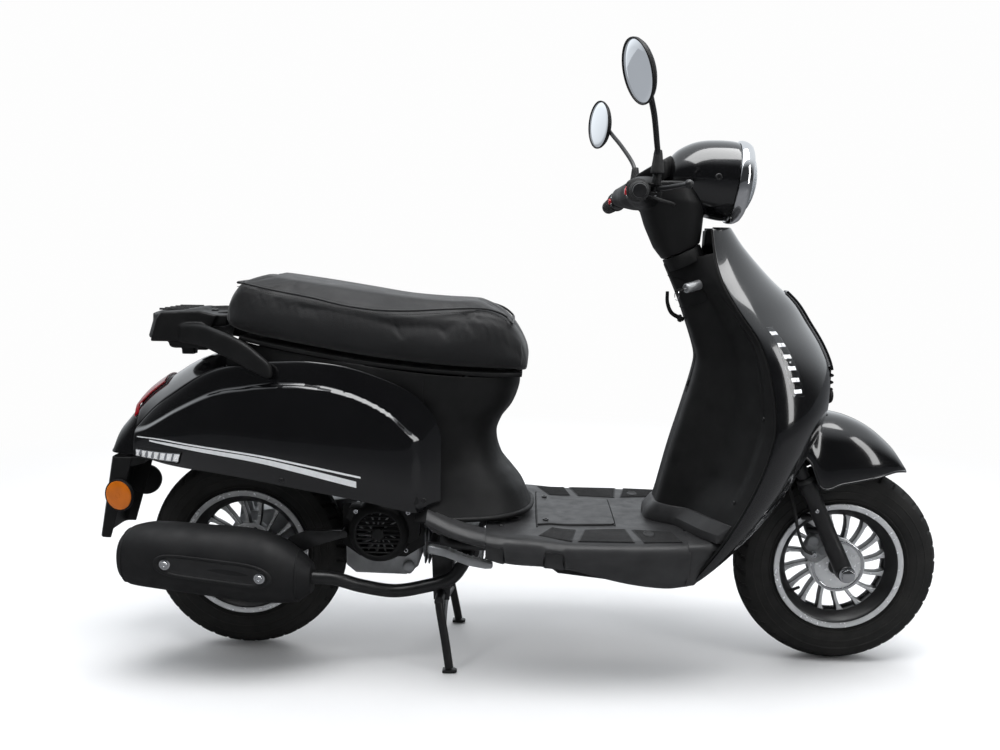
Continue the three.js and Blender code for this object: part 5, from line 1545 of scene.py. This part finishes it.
def bar_at(s, along):
    return V(GRIP_IN[0], GRIP_IN[1] * s, GRIP_IN[2]) + bar_way(s) * along


def hand_of(s):
    return "left" if s > 0 else "right"


def make_cover():
    column = []
    tilts = [(884, 338, 42, 45, 25), (908, 329, 52, 55, 18), (945, 320, 61, 68, 8), (985, 312, 68, 80, 0),
             (1026, 300, 58, 78, 0)]
    for z, x, a, b, tilt in tilts:
        angle = math.radians(tilt)
        column.append(ring(V(x, 0, z), V(math.cos(angle), 0, math.sin(angle)), Y, a, b, 2.4, 48))
    pod = []
    for y, a, b in ((-148, 23, 21), (-110, 29, 26), (-60, 39, 32), (0, 45, 35), (60, 39, 32), (110, 29, 26),
                    (148, 23, 21)):
        pod.append(ring(V(224 + 46 * (1 - abs(y) / 148), y, 1003), X, Z, a, b, 2.4, 48))
    skin = fused([loft(column), loft(pod)], 2.6, 14)
    piece("bar_cover", [skin], satin, "front_end", ["handlebar_cover"], 0)
    for s in (-1, 1):
        piece(f"cover_screw_{hand_of(s)}", [bolt(V(222, 72 * s, 985), V(-0.9, 0.1 * s, -0.4), 4.4, 2.6)],
              bright, "front_end",
              bevel=0.2)
    # The neck below the cover, standing still while the cover turns on top of it.
    lean = V(math.cos(RAKE), 0, math.sin(RAKE))
    top = V(338, 0, 884) - STEER_UP * 1.6
    foot = top - STEER_UP * 27
    core_top = on_axis(884) + STEER_UP * (top - on_axis(884)).dot(STEER_UP)
    neck = loft([ring(foot, lean, Y, 41, 50, 2.4, 48), ring(top, lean, Y, 41.5, 44.5, 2.4, 48),
                 ring(core_top, lean, Y, 18.5, 18.5, 2, 48),
                 ring(core_top - STEER_UP * 27, lean, Y, 18.5, 18.5, 2, 48)],
                closed=True)
    piece("neck_collar", [neck], satin, "chassis", bevel=1.0)
    way = V(-0.5, 0, 0.866)
    at = V(286, 0, 1040)
    pod_body = turned([(0, -12), (36, -12), (42, 14), (43, 20), (41, 24.5), (37, 25), (36, 21), (0, 21)],
                      at, way, 96)
    piece("gauge_pod", [pod_body], satin, "front_end", ["instrument_cluster"], 0.6)
    face = turned([(0, 20.8), (35.5, 20.8), (35.5, 21.6), (0, 21.6)], at, way, 72)
    piece("gauge_face", [face], dark_plastic, "front_end", bevel=0.1)
    cover = turned([(0, 26.5), (20, 26), (32, 24.4), (36.6, 22.8), (36.6, 21.9), (0, 23.5)], at, way, 72)
    piece("gauge_glass", [cover], clear_lens, "front_end", bevel=0.1)
    side_way = Y
    up_way = way.cross(side_way).normalized()
    marks = []
    for n in range(21):
        t = math.radians(-130 + 13 * n)
        radial = up_way * -math.cos(t) + side_way * math.sin(t)
        across = way.cross(radial).normalized()
        inner = 26 if n % 2 == 0 else 29
        base = [at + way * 21.7 + radial * r + across * w for r, w in ((inner, -0.5), (inner, 0.5),
                (33, 0.5), (33, -0.5))]
        marks.append(loft([base, [p + way * 0.35 for p in base]]))
    radial = (up_way * -math.cos(math.radians(-120)) + side_way * math.sin(math.radians(-120))).normalized()
    across = way.cross(radial).normalized()
    base = [at + way * 22.3 + radial * r + across * w for r, w in ((-6, -1.1), (-6, 1.1), (28, 0.3),
                                                                   (28, -0.3))]
    piece("gauge_marks", marks, stripe, "front_end", bevel=0)
    hub = turned([(0, 21.6), (4, 21.6), (4, 23), (0, 23.2)], at, way, 24)
    piece("gauge_needle", [loft([base, [p + way * 0.5 for p in base]]), hub], red, "front_end",
          bevel=0)


def make_lamp():
    bucket = [(0, -141), (12, -140.4), (30, -134), (44, -125), (54, -114), (64, -99), (71, -84), (76, -67),
              (79, -50),
              (81, -34), (82, -20), (82, -8), (81, 0), (78, 0), (78, -20), (76, -50), (68, -82), (51, -111),
              (28, -129),
              (0, -137)]
    smooth = [(p.x, p.y) for p in spline([V(r, d, 0) for r, d in bucket[:13]], 60)]
    smooth = [(max(r, 0.0), d) for r, d in smooth]
    smooth[0] = (0, -141)
    shell = turned(smooth + bucket[13:], LAMP, LAMP_WAY, 120)
    piece("lamp_shell", [shell], gloss, "front_end", ["headlight_shell"], 0.6)
    bezel = [(74, 1), (83, 0.5), (85, 2), (86, 6), (86, 10), (85, 16), (83, 21), (79, 26.5), (74, 29.5),
             (69, 31),
             (66.5, 30.6), (66.8, 28), (70, 24), (72, 14)]
    piece("lamp_bezel", [turned(bezel, LAMP, LAMP_WAY, 144)], bright, "front_end",
          ["headlight_bezel"], 0.4)
    outer = [(65.8, 21), (64, 28), (60, 32.5), (52, 38.5), (40, 43.6), (26, 47.4), (12, 49.4), (0, 50)]
    inner = [(0, 47.6), (12, 47), (26, 45), (40, 41.2), (51, 36.4), (58, 30.8), (61.6, 27), (63, 21)]
    lens = turned([(r, d) for r, d in reversed(outer)] + [(r, d) for r, d in reversed(inner)], LAMP,
                  LAMP_WAY, 120)
    piece("lamp_lens", [lens], clear_lens, "front_end", ["headlight_lens"], 0.3)
    bowl_out = [(65.5, 22), (60, 6), (50, -12), (36, -28), (20, -38), (14, -40)]
    bowl_in = [(14, -38), (20, -36), (35, -26), (48, -11), (58, 6), (63, 22)]
    piece("lamp_reflector", [turned(bowl_out + bowl_in, LAMP, LAMP_WAY, 96)], bright, "front_end",
          bevel=0.2)
    flutes = []
    up = LAMP_WAY.cross(Y).normalized()
    for n in range(24):
        t = 2 * math.pi * n / 24
        way = Y * math.cos(t) + up * math.sin(t)
        line = [Vector(LAMP) + way * r + LAMP_WAY * d for r, d in ((22, -34), (36, -25), (48, -11), (57, 5),
                                                                   (61, 18))]
        flutes.append(tube(line, 1.5, 14, 8))
    piece("lamp_flutes", flutes, bright, "front_end", bevel=0)
    bulb = turned([(0, 12), (4, 11.4), (7.4, 8), (8.6, 2), (7.8, -6), (6.8, -14), (9, -16), (11, -24),
                   (11, -38), (0, -38)],
                  LAMP, LAMP_WAY, 40)
    piece("lamp_bulb", [bulb], clear_lens, "front_end", bevel=0.2)
    hood = turned([(0, 15), (11, 14), (12, 12), (12, 4), (11, 4), (10.6, 11), (0, 12.6)], LAMP, LAMP_WAY, 40)
    piece("bulb_shield", [hood], bright, "front_end", bevel=0.2)
    for s in (-1, 1):
        at = Vector(LAMP) + V(-42, 80.5 * s, 4)
        piece(f"lamp_screw_{hand_of(s)}", [bolt(at, Y * s, 7, 5)], dark, "front_end",
              bevel=0.4)


def make_controls(s):
    hand = hand_of(s)
    body = "front_end"
    pivot = V(256, 186 * s, 1001)
    sleeve = [turned([(11.6, 2), (19, 2), (20, 4), (20, 22), (19.4, 23), (20, 24), (20, 42), (18.5, 45),
                      (11.6, 45)],
                     bar_at(s, 0), bar_way(s), 56)]
    top = box(224, 262, 174, 198, 1007, 1012)
    low = box(224, 262, 174, 198, 989, 995)
    back = box(224, 246, 174, 198, 989, 1012)
    clamp = rod(V(256, 190, 1008), V(258, 190, 1029), 10, 8)
    face = box(204, 226, 168, 200, 984, 1008)
    more = [top, low, back, clamp, face]
    sleeve += [m if s > 0 else mirrored(m) for m in more]
    piece(f"switch_housing_{hand}", sleeve, satin, body, [f"switch_{hand}"], 1.6, segments=3)
    pin = [rod(pivot + V(0, 0, -13), pivot + V(0, 0, 12.6), 3), bolt(pivot + V(0, 0, 11), Z, 5, 3)]
    piece(f"lever_pin_{hand}", pin, bright, body, bevel=0.3)
    for z in (990, 1003):
        piece(f"housing_screw_{hand}_{z}", [bolt(V(204, 173.5 * s, z), -X, 2.4, 1.6)], bright, body,
              bevel=0.1)
    button = turned([(0, -6), (6.3, -6), (6.4, 3), (5.4, 4.4), (0, 4.8)], V(202, 184 * s, 996), -X, 40)
    name, rider = ("horn_button", "horn") if s > 0 else ("starter_button", "starter")
    piece(f"push_{rider}", [button], red, rider, [name], 0.3)
    slider = loft([ring(V(x, 193.5 * s, 1003), Y, Z, a, b, 4, 24)
                   for x, a, b in ((205, 4, 3), (201, 3.6, 2.6), (198.5, 2.4, 1.6))])
    piece(f"slide_switch_{hand}", [slider], red if s < 0 else satin, body,
          bevel=0.3)
    eye = turned([(3.6, -5), (9, -5), (9, 5), (3.6, 5)], pivot, Z, 48)
    blade_line = [(258, 188 * s, 1001), (276, 218 * s, 1001.5), (294, 260 * s, 1003), (300, 296 * s, 1003)]
    path = spline(blade_line, 50)
    rings = []
    for i, p in enumerate(path):
        a, b = path[max(i - 1, 0)], path[min(i + 1, 49)]
        way = (b - a).normalized()
        across = way.cross(Z).normalized()
        share = i / 49
        rings.append(ring(p, across, Z, 4.4 + 1.2 * (1 - share), 5.2 - 0.8 * share, 3, 28))
    ball = turned([(0, -8)] + [(8 * math.cos(t), 8 * math.sin(t)) for t in spread(-1.4, 1.4, 20)] + [(0, 8)],
                  V(300, 302 * s, 1003), Y * s, 40)
    piece(f"lever_{hand}", [eye, loft(rings), ball], dark, f"lever_{hand}",
          [f"brake_lever_{hand}"], 0.5)
    rubber_ribs = [(11.6, 0), (21, 0), (22, 1), (22, 4), (20, 5.6), (16, 7.4), (15, 10)]
    for n in range(24):
        d = 12 + 4.1 * n
        swell = 15 + 1.4 * math.sin(math.pi * n / 23)
        rubber_ribs += [(swell, d), (swell + 0.8, d + 0.6), (swell + 0.8, d + 2.4), (swell, d + 3)]
    rubber_ribs += [(16, 112), (14.6, 115.4), (12, 116.6), (11.6, 116.6)]
    grip = turned(rubber_ribs, bar_at(s, 52), bar_way(s), 72)
    rider, node = ("front_end", "left_grip") if s > 0 else ("throttle", "throttle_grip")
    piece(f"grip_{hand}", [grip], grip_look, rider, [node], 0.2)
    cap = turned([(0, 160), (12.5, 160), (13, 162), (12, 165), (0, 166)], bar_at(s, 9), bar_way(s), 40)
    piece(f"bar_end_{hand}", [cap], dark, rider, bevel=0.4)
    back = 14 if s > 0 else 0
    stem_points = [(258, 190 * s, 1031), (257.5, 193 * s, 1062), (252, 212 * s, 1088),
                   (240 - back * 0.6, 258 * s, 1128), (226 - back, 300 * s, 1160)]
    glass_way = (V(-0.93, -0.36, 0) if s > 0 else V(-0.9, -0.28, -0.28)).normalized()
    centre = V(204 - back, 352 * s, 1189)
    stem = tube(stem_points + [tuple(centre + glass_way * -10)], 4.8 if s > 0 else 5.5, 90, 20)
    boot_profile = [(0, 0), (12.5, 0), (12.8, 3), (12.4, 8), (11, 16), (9.6, 26), (8.4, 36), (7.4, 42),
                    (6.6, 43), (0, 43)]
    boot = turned(boot_profile, V(258, 190 * s, 1030.6), V(0, 0.05 * s, 1), 48)
    piece(f"mirror_stem_{hand}", [stem], dark, f"mirror_{hand[0]}", [f"mirror_{hand}"], 0.4)
    piece(f"mirror_boot_{hand}", [boot], grip_look, f"mirror_{hand[0]}", bevel=0.2)
    shell_line = [(0, -13), (14, -12.7), (30, -10.6), (42, -7), (51, -2), (56, 3.5), (57, 7), (57, 9),
                  (55.6, 9.8), (54, 9),
                  (53.4, 6), (0, 6)]
    piece(f"mirror_shell_{hand}", [turned(shell_line, centre, glass_way, 96)], satin, f"mirror_{hand[0]}",
          bevel=0.3)
    pane = [(0, 8.4), (20, 8.2), (40, 7.6), (53, 6.8), (53, 6.2), (0, 6.2)]
    piece(f"mirror_pane_{hand}", [turned(pane, centre, glass_way, 96)], glass, f"mirror_{hand[0]}",
          bevel=0.1)
    knuckle = turned([(0, -11), (9, -9), (12, -3), (10, 4), (0, 6)], centre + glass_way * -12, -glass_way, 40)
    piece(f"mirror_knuckle_{hand}", [knuckle], satin, f"mirror_{hand[0]}", bevel=0.3)
    cable = [(246, 170 * s, 994), (262, 150 * s, 986), (290, 122 * s, 980), (306, 92 * s, 978),
             (308, 70 * s, 976)]
    piece(f"control_cable_{hand}", [tube(cable, 2.9, 60, 12)], grip_look, body, bevel=0)


def make_bars():
    bar = []
    for s in (1, -1):
        bend = spline([(301, 0, 1000), (288, 40 * s, 1001), (252, 108 * s, 1001), bar_at(s, 0)], 40)
        bar.append(tube(bend + [bar_at(s, d) for d in (30, 60, 100, 160)], 11, 90, 28))
    clamp = turned([(0, 0), (19, 0), (19, 33), (0, 33)], on_axis(980.5), STEER_UP, 40)
    piece("bar", [*bar, clamp], dark, "front_end", ["handlebar"], 0.6)


make_cover()
make_lamp()
make_bars()
for hand_sign in (-1, 1):
    make_controls(hand_sign)

# ---------------------------------------------------------------- frame


def bent(points, radius, steps, sides=20):
    return tube(points, radius, steps, sides)


def make_frame():
    head = turned([(17.4, 0), (25, 0), (27, 3), (27, 12), (25, 15), (25, 164), (27, 167), (27, 176),
                   (25, 178.6), (17.4, 178.6)],
                  on_axis(690), STEER_UP, 56)
    down = bent([(452, 0, 712), (428, 0, 560), (404, 0, 400), (380, 0, 300), (338, 0, 262)], 20, 50)
    shells = [head, down]
    for s in (1, -1):
        rail = [(338, 90, 262), (120, 90, 262), (-60, 90, 262), (-110, 90, 262), (-152, 102, 276),
                (-170, 112, 325),
                (-170, 112, 430), (-170, 112, 545), (-192, 118, 588), (-250, 122, 602), (-400, 122, 602),
                (-560, 122, 600),
                (-700, 92, 576)]
        shells.append(bent([(x, y * s, z) for x, y, z in rail], 11, 220, 18))
        shells.append(side([(-182, 372), (-158, 372), (-150, 318), (-158, 302), (-172, 302), (-180, 318)],
                           54 * s - 4, 54 * s + 4))
        shells.append(side([(-182, 270), (-130, 270), (-142, 132), (-176, 132)], 66 * s - 4, 66 * s + 4))
        shells.append(rod((-136, 62 * s, 262), (-136, 94 * s, 262), 9))
        shells.append(rod((-166, 108 * s, 290), (-166, 176 * s, 284), 9))
        shells.append(bent([(-170, 112 * s, 548), (-128, 110 * s, 584), (-80, 84 * s, 603),
                            (-34, 52 * s, 606)], 8, 40))
        shells.append(rod((-540, 60 * s, 600), (-540, 118 * s, 600), 6))
    for x, z, y in ((338, 262, 92), (-60, 262, 92), (-170, 368, 112), (-690, 578, 95)):
        shells.append(rod((x, -y, z), (x, y, z), 10))
    shells.append(rod((-165, -60, 318), (-165, 60, 318), 7))
    shells.append(rod((-34, -58, 606), (-34, 58, 606), 6))
    shells.append(side([(-590, 604), (-560, 604), (-563, 566), (-587, 566)], 105, 109))
    shells.append(rod((-575, 78, 575), (-575, 107, 575), 5.5))
    piece("tube_frame", shells, dark, "chassis", ["main_frame"], 0.8)


make_frame()

# ---------------------------------------------------------------- engine, exhaust and suspension


def oblong(x0, z0, r0, x1, z1, r1):
    points = [(x1 + r1 * math.cos(t), z1 + r1 * math.sin(t)) for t in spread(math.pi / 2, 1.5 * math.pi, 25)]
    return points + [(x0 + r0 * math.cos(t), z0 + r0 * math.sin(t))
                     for t in spread(-math.pi / 2, math.pi / 2, 25)]


def make_drive_cover():
    shells = [side(oblong(-300, 262, 70, -592, 219, 66), 58, 124)]
    steps = ((124, 70, 66), (128, 69, 65), (131, 66, 62), (132, 62, 58), (135, 60, 54.5), (139, 58, 53))
    shells.append(loft([[V(x, y, z) for x, z in oblong(-300, 262, a, -592, 219, b)] for y, a, b in steps]))
    for n in range(7):
        x = -352 - 30 * n
        z = 262 + (x + 300) * 43 / 292
        shells.append(loft([[V(x - 4, y, z - 34), V(x + 4, y, z - 34), V(x + 4, y, z + 34),
                             V(x - 4, y, z + 34)]
                            for y in (138.5, 141.5)]))
    ear = [(-640, 250), (-600, 260), (-612, 316), (-622, 328), (-632, 316)]
    shells.append(side(ear, 104, 112))
    shells.append(side(ear, 72, 80.5))
    shells.append(rod((-622, 80, 318), (-622, 108, 318), 5))
    shells.append(rod((-592, -44, 219), (-592, 60, 219), 12))
    shells.append(turned([(0, 0), (17, 0), (17, 2), (0, 2)], V(-592, -36, 219), -Y, 40))
    hexagon = ring(V(-592, -37, 219), X, Z, 17, 17, 2, 6)
    shells.append(loft([hexagon, [p + V(0, -15, 0) for p in hexagon]]))
    shells.append(turned([(0, 0), (15, 0), (14, 9), (0, 9)], V(-330, 137, 214), Y, 40))
    shells.append(turned([(0, 0), (44, 0), (44, 3), (40, 5), (0, 5)], V(-300, 138, 262), Y, 72))
    shells.append(turned([(0, 0), (34, 0), (34, 3), (31, 5), (0, 5)], V(-592, 138, 219), Y, 72))
    piece("drive_case", shells, castings, "engine_unit", ["cvt_cover"], 1.2)
    rim = oblong(-300, 262, 64, -592, 219, 60)
    for n, (x, z) in enumerate(rim[::5]):
        piece(f"case_bolt_{n + 1}", [bolt(V(x, 131.5, z), Y, 5, 4)], bright, "engine_unit",
              bevel=0.3)
    kick = [turned([(0, 0), (15, 0), (16, 2), (16, 13), (14, 15.5), (0, 15.5)], V(-330, 146.5, 214), Y, 48),
            tube([(-330, 156, 214), (-380, 160, 226), (-440, 162, 238), (-472, 162, 240)], 7, 40, 20)]
    pedal = [(0, 0), (7, 0), (8.4, 2), (8.4, 42), (7, 44), (0, 44)]
    kick.append(turned(pedal, V(-474, 156, 240), Y, 36))
    piece("kick_arm", kick, dark, "kick", ["kick_lever"], 0.6)
    ribs = [turned([(8, 6 + 5 * n), (9.4, 7 + 5 * n), (9.4, 9 + 5 * n), (8, 10 + 5 * n)], V(-474, 156, 240),
                   Y, 36)
            for n in range(7)]
    piece("kick_rubber", ribs, grip_look, "kick", bevel=0)


def make_crankcase():
    outline = [(-360, 214), (-340, 197), (-232, 195), (-206, 214), (-204, 330), (-226, 346), (-340, 340),
               (-360, 318)]
    shells = [side(outline, -90, 57),
              loft([[V(-282 + (x + 282) * k, y, 270 + (z - 270) * k) for x, z in outline]
                                            for y, k in ((-90, 1), (-94, 0.95))])]
    shells.append(rod((-165, -48, 318), (-165, 48, 318), 17))
    shells.append(side([(-210, 300), (-168, 302), (-168, 333), (-210, 338)], -46, 46))
    for n in range(4):
        y = -70 + 34 * n
        shells.append(side([(-356, 206), (-346, 192), (-226, 189), (-212, 206)], y - 2, y + 2))
    shells.append(turned([(0, 0), (14, 0), (14, 8), (11, 11), (0, 11)], V(-262, -20, 196), -Z, 6))
    shells.append(turned([(0, 0), (13, 0), (13, 9), (9, 12), (0, 12)], V(-226, -91, 214), -Y, 32))
    piece("engine_block", shells, castings, "engine_unit", ["crankcase"], 2.0, segments=3)
    shells = [rod((-203.4, 0, 240), (-120, 0, 240), 34)]
    for n in range(10):
        x = -197 + 8 * n
        shells.append(loft([[V(x + d, 0, 241) + p for p in ring(V(0, 0, 0), Y, Z, 47, 41, 7, 40)]
                            for d in (-1.5, 1.5)]))
    head = [(-122, 204), (-84, 208), (-74, 222), (-74, 262), (-84, 274), (-122, 278)]
    shells.append(side(head, -46, 46))
    for n in range(5):
        z = 214 + 12 * n
        shells.append(box(-118, -71, -47, 47, z - 1.5, z + 1.5))
    piece("barrel", shells, castings, "engine_unit", ["cylinder"], 0.8)
    centre = V(-283, -94.6, 300)
    rim = [(62, 0), (66, 0), (67, 2), (66, 30), (62, 44), (58, 52), (50, 59), (47, 60), (45, 58), (45, 50),
           (56, 44), (60, 28)]
    shells = [turned(rim, centre, -Y, 96), turned([(0, 30), (60, 30), (60, 33), (0, 33)], centre, -Y, 72)]
    scoop = side([(-352, 330), (-345, 352), (-205, 352), (-196, 330), (-200, 290), (-250, 262)], -138, -94.6)
    shells.append(scoop)
    backing = [(-366, 262), (-366, 350), (-196, 352), (-192, 262), (-232, 236), (-330, 236)]
    shells.append(side(backing, -98, -94.7))
    piece("fan_shroud", shells, satin, "engine_unit", ["fan_cover"], 1.6, segments=3)
    slats = []
    for n in range(9):
        z = -38 + 9.5 * n
        half = math.sqrt(46**2 - z * z)
        slats.append(loft([[centre + V(x, -56, z - 2.6), centre + V(x, -60, z - 1.0),
                            centre + V(x, -58, z + 1.6), centre + V(x, -52, z + 1.4)]
                           for x in (-half, half)]))
    slats.append(turned([(0, 50), (13, 50), (13, 60), (11, 62), (0, 62)], centre, -Y, 48))
    piece("fan_grille", slats, satin, "engine_unit", bevel=0.5)
    blades = []
    for n in range(14):
        t = 2 * math.pi * n / 14
        out, over = V(math.cos(t), 0, math.sin(t)), V(-math.sin(t), 0, math.cos(t))
        blades.append(loft([[centre + out * r + over * w + V(0, y, 0) for y, w in ((-34, 0), (-34, 2),
                (-47, 7), (-47, 5))]
                            for r in (16, 42)]))
    piece("fan_blades", blades, castings, "engine_unit", bevel=0)
    for n, (x, z) in enumerate(((-340, 262), (-232, 250), (-330, 345), (-222, 345))):
        piece(f"shroud_bolt_{n + 1}", [bolt(V(x, -95 if n < 2 else -138.5, z), -Y, 5.5, 5)], bright,
              "engine_unit",
              bevel=0.3)


CAN = [(-808, 253, 20, 18), (-806, 253, 32, 28), (-800, 253, 44, 38), (-790, 254, 53, 46),
       (-778, 255, 60, 52), (-735, 256, 67, 59), (-628, 247, 71, 61), (-535, 238, 73, 61),
       (-480, 229, 66, 56), (-440, 218, 51, 44), (-414, 214, 30, 28)]
can_mid = curve([(x, z) for x, z, h, w in CAN])
can_high = curve([(x, h) for x, z, h, w in CAN])
can_wide = curve([(x, w) for x, z, h, w in CAN])


def can_point(x, t, out=0.0):
    c = math.copysign(abs(math.cos(t)) ** (2 / 2.3), math.cos(t))
    q = math.copysign(abs(math.sin(t)) ** (2 / 2.3), math.sin(t))
    return V(x, -176 - (can_wide(x) + out) * c, can_mid(x) + (can_high(x) + out) * q)


def make_exhaust():
    stations = [-808 + 394 * (1 - math.cos(t)) / 2 for t in spread(0, math.pi, 80)]
    can = loft([[can_point(x, 2 * math.pi * i / 64) for i in range(64)] for x in stations])
    pipe = tube([(-425, -172, 214), (-372, -158, 206), (-318, -138, 184), (-254, -118, 168),
                 (-192, -110, 176),
                 (-140, -102, 190), (-116, -94, 214), (-107, -78, 232), (-104, -53, 240)], 14, 120, 28)
    stay = side([(-500, 250), (-470, 286), (-430, 300), (-356, 300), (-350, 288), (-420, 266), (-470, 240)],
                -134, -126)
    arm = rod((-357, -96, 294), (-357, -136, 294), 8)
    flange = turned([(14, 0), (26, 0), (26, 7), (14, 7)], V(-104, -60, 240), Y, 40)
    tip = turned([(9, 0), (12, 0), (12, 16), (9, 16)], V(-806, -176, 238), V(-1, 0, -0.1), 40)
    tip = ([p + V(14, 0, 0) for p in tip[0]], tip[1])
    piece("silencer", [can, tip], heat, "engine_unit", ["exhaust"], 0.6)
    piece("exhaust_pipe", [pipe, stay, arm, flange], dark, "engine_unit", bevel=0.8)
    for x in (-790, -440):
        belt = [can_point(x, 2 * math.pi * i / 64, 0.4) for i in range(64)]
        piece(f"silencer_seam_{-x}", [tube(belt, 1.7, 200, 8, closed=True)], heat, "engine_unit",
              bevel=0)

    def slot_point(u, v, out):
        """u runs along the slot and v across it, from -1 to 1."""
        x = -600 + 112 * u
        t = 0.0 - 0.03 * u
        return can_point(x, t + 0.235 * v, out)

    def capsule(scale, out, count=72):
        made = []
        for k in range(count):
            t = 2 * math.pi * k / count
            a, b = math.cos(t), math.sin(t)
            u = math.copysign(abs(a) ** 0.32, a) * (1 - (1 - scale) * 0.25)
            made.append(slot_point(u, b * scale, out))
        return made

    guard = loft([capsule(1.22, -1.5), capsule(1.2, 2.0), capsule(1.12, 3.6), capsule(1.0, 3.8),
                  capsule(0.86, 2.6), capsule(0.8, 0.4),
                  capsule(0.78, -1.5)], closed=True)
    piece("heat_guard_rim", [guard], heat, "engine_unit", bevel=0)
    panel = loft([capsule(0.84, -1.2), capsule(0.84, 0.7), capsule(0.4, 1.2)])
    piece("heat_guard_panel", [panel], dark, "engine_unit", bevel=0)
    for n, u in enumerate((-0.84, 0.84)):
        at = slot_point(u, 0, 0.6)
        piece(f"heat_guard_bolt_{n + 1}", [turned([(0, 0), (11, 0), (11, 1.6), (0, 1.6)], at, -Y, 36),
                                           bolt(at + V(0, -1.6, 0), -Y, 7, 4.5)],
              bright, "engine_unit", bevel=0.3)


def make_shock():
    way = (SHOCK_LOW - SHOCK_TOP).normalized()
    length = (SHOCK_LOW - SHOCK_TOP).length
    eye = [turned([(6.4, -11), (13, -11), (13, 11), (6.4, 11)], SHOCK_TOP, Y, 40)]
    tubes = turned([(0, 8), (9, 8), (9, 22), (25, 24), (25, 28), (16, 30), (16, 150), (14, 152), (0, 152)],
                   SHOCK_TOP, way, 56)
    piece("damper", [*eye, tubes], dark, "damper", ["shock_damper"], 0.6)
    shaft = turned([(0, 100), (6, 100), (6, length - 32), (25, length - 32), (25, length - 28),
                    (14, length - 24), (10, length - 10),
                    (0, length - 10)], SHOCK_TOP, way, 48)
    low_eye = turned([(6.6, -11), (12, -11), (12, 11), (6.6, 11)], SHOCK_LOW, Y, 40)
    piece("damper_shaft", [shaft, low_eye], bright, "damper_rod", ["shock_rod"], 0.5)
    side_way = way.orthogonal().normalized()
    up = way.cross(side_way)
    coil = []
    turns = 7.5
    start, end = 33, length - 37
    for n in range(int(turns * 20) + 1):
        t = 2 * math.pi * n / 20
        share = n / (turns * 20)
        middle = SHOCK_TOP + way * (start + (end - start) * share)
        coil.append(middle + side_way * (COIL_RADIUS * math.cos(t)) + up * (COIL_RADIUS * math.sin(t)))
    spring = piece("shock_spring", [tube(coil, 3.3, int(turns * 36), 12)], dark, None, bevel=0)
    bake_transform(spring)


def make_stand_and_pegs():
    bar = turned([(0, -118), (9, -118), (10, -116), (10, 116), (9, 118), (0, 118)], V(-160, 0, 145), Y, 40)
    shells = [bar]
    for s in (1, -1):
        shells.append(tube([(-160, 108 * s, 145), (-158, 116 * s, 128), (-146, 126 * s, 66),
                            (-136, 136 * s, 8)], 9, 40, 24))
        foot = [(-150, 127 * s), (-125, 127 * s), (-120, 132 * s), (-120, 140 * s), (-125, 145 * s),
                (-150, 145 * s)]
        shells.append(plan(foot, 0, 6))
    shells.append(tube([(-151, -122, 90), (-156, 0, 104), (-151, 122, 90)], 7, 40, 20))
    piece("stand", shells, dark, "stand", ["center_stand"], 1.0)
    spring_line = []
    for n in range(161):
        t = 2 * math.pi * n / 8
        share = n / 160
        spring_line.append(V(-158 + 5 * math.cos(t), 84 + 5 * math.sin(t), 250 - 70 * share))
    hooks = [tube([(-158, 84, 250), (-156, 84, 258), (-150, 84, 261)], 1.5, 12, 8),
             tube([(-158, 84, 180), (-158, 84, 172), (-160, 86, 160)], 1.5, 12, 8)]
    piece("stand_spring", [tube(spring_line, 1.5, 480, 8), *hooks], bright, "chassis",
          bevel=0)
    for s, hand in ((-1, "right"), (1, "left")):
        stations = [(-176, 284, 5, 7), (-172, 284, 9, 8.6), (-166, 284, 10, 9), (-140, 279, 12, 9),
                    (-96, 262, 11, 9), (-60, 255, 10, 8.4),
                    (-48, 254, 8, 7), (-45, 254, 5, 4)]
        peg = loft([ring(V(x, 189 * s, z), Y, Z, a, b, 4, 32) for x, z, a, b in stations])
        ribs = []
        for n in range(7):
            x = -132 + 12 * n
            z = curve([(-140, 279), (-96, 262), (-46, 254)])(x)
            ribs.append(loft([[V(x - 2.4, 189 * s + y, z + 8.6), V(x - 1.4, 189 * s + y, z + 10.6),
                               V(x + 1.4, 189 * s + y, z + 10.2),
                               V(x + 2.4, 189 * s + y, z + 8)] for y in (-8.5, 8.5)]))
        piece(f"peg_{hand}", [peg, *ribs], castings, f"peg_{hand}", [f"footpeg_{hand}"],
              0.8)
        yoke = [box(-182, -154, 171 if s > 0 else -176, 176 if s > 0 else -171, 276, 294)]
        piece(f"peg_yoke_{hand}", yoke, dark, "chassis", bevel=1.2)


make_drive_cover()
make_crankcase()
make_exhaust()
make_shock()
make_stand_and_pegs()
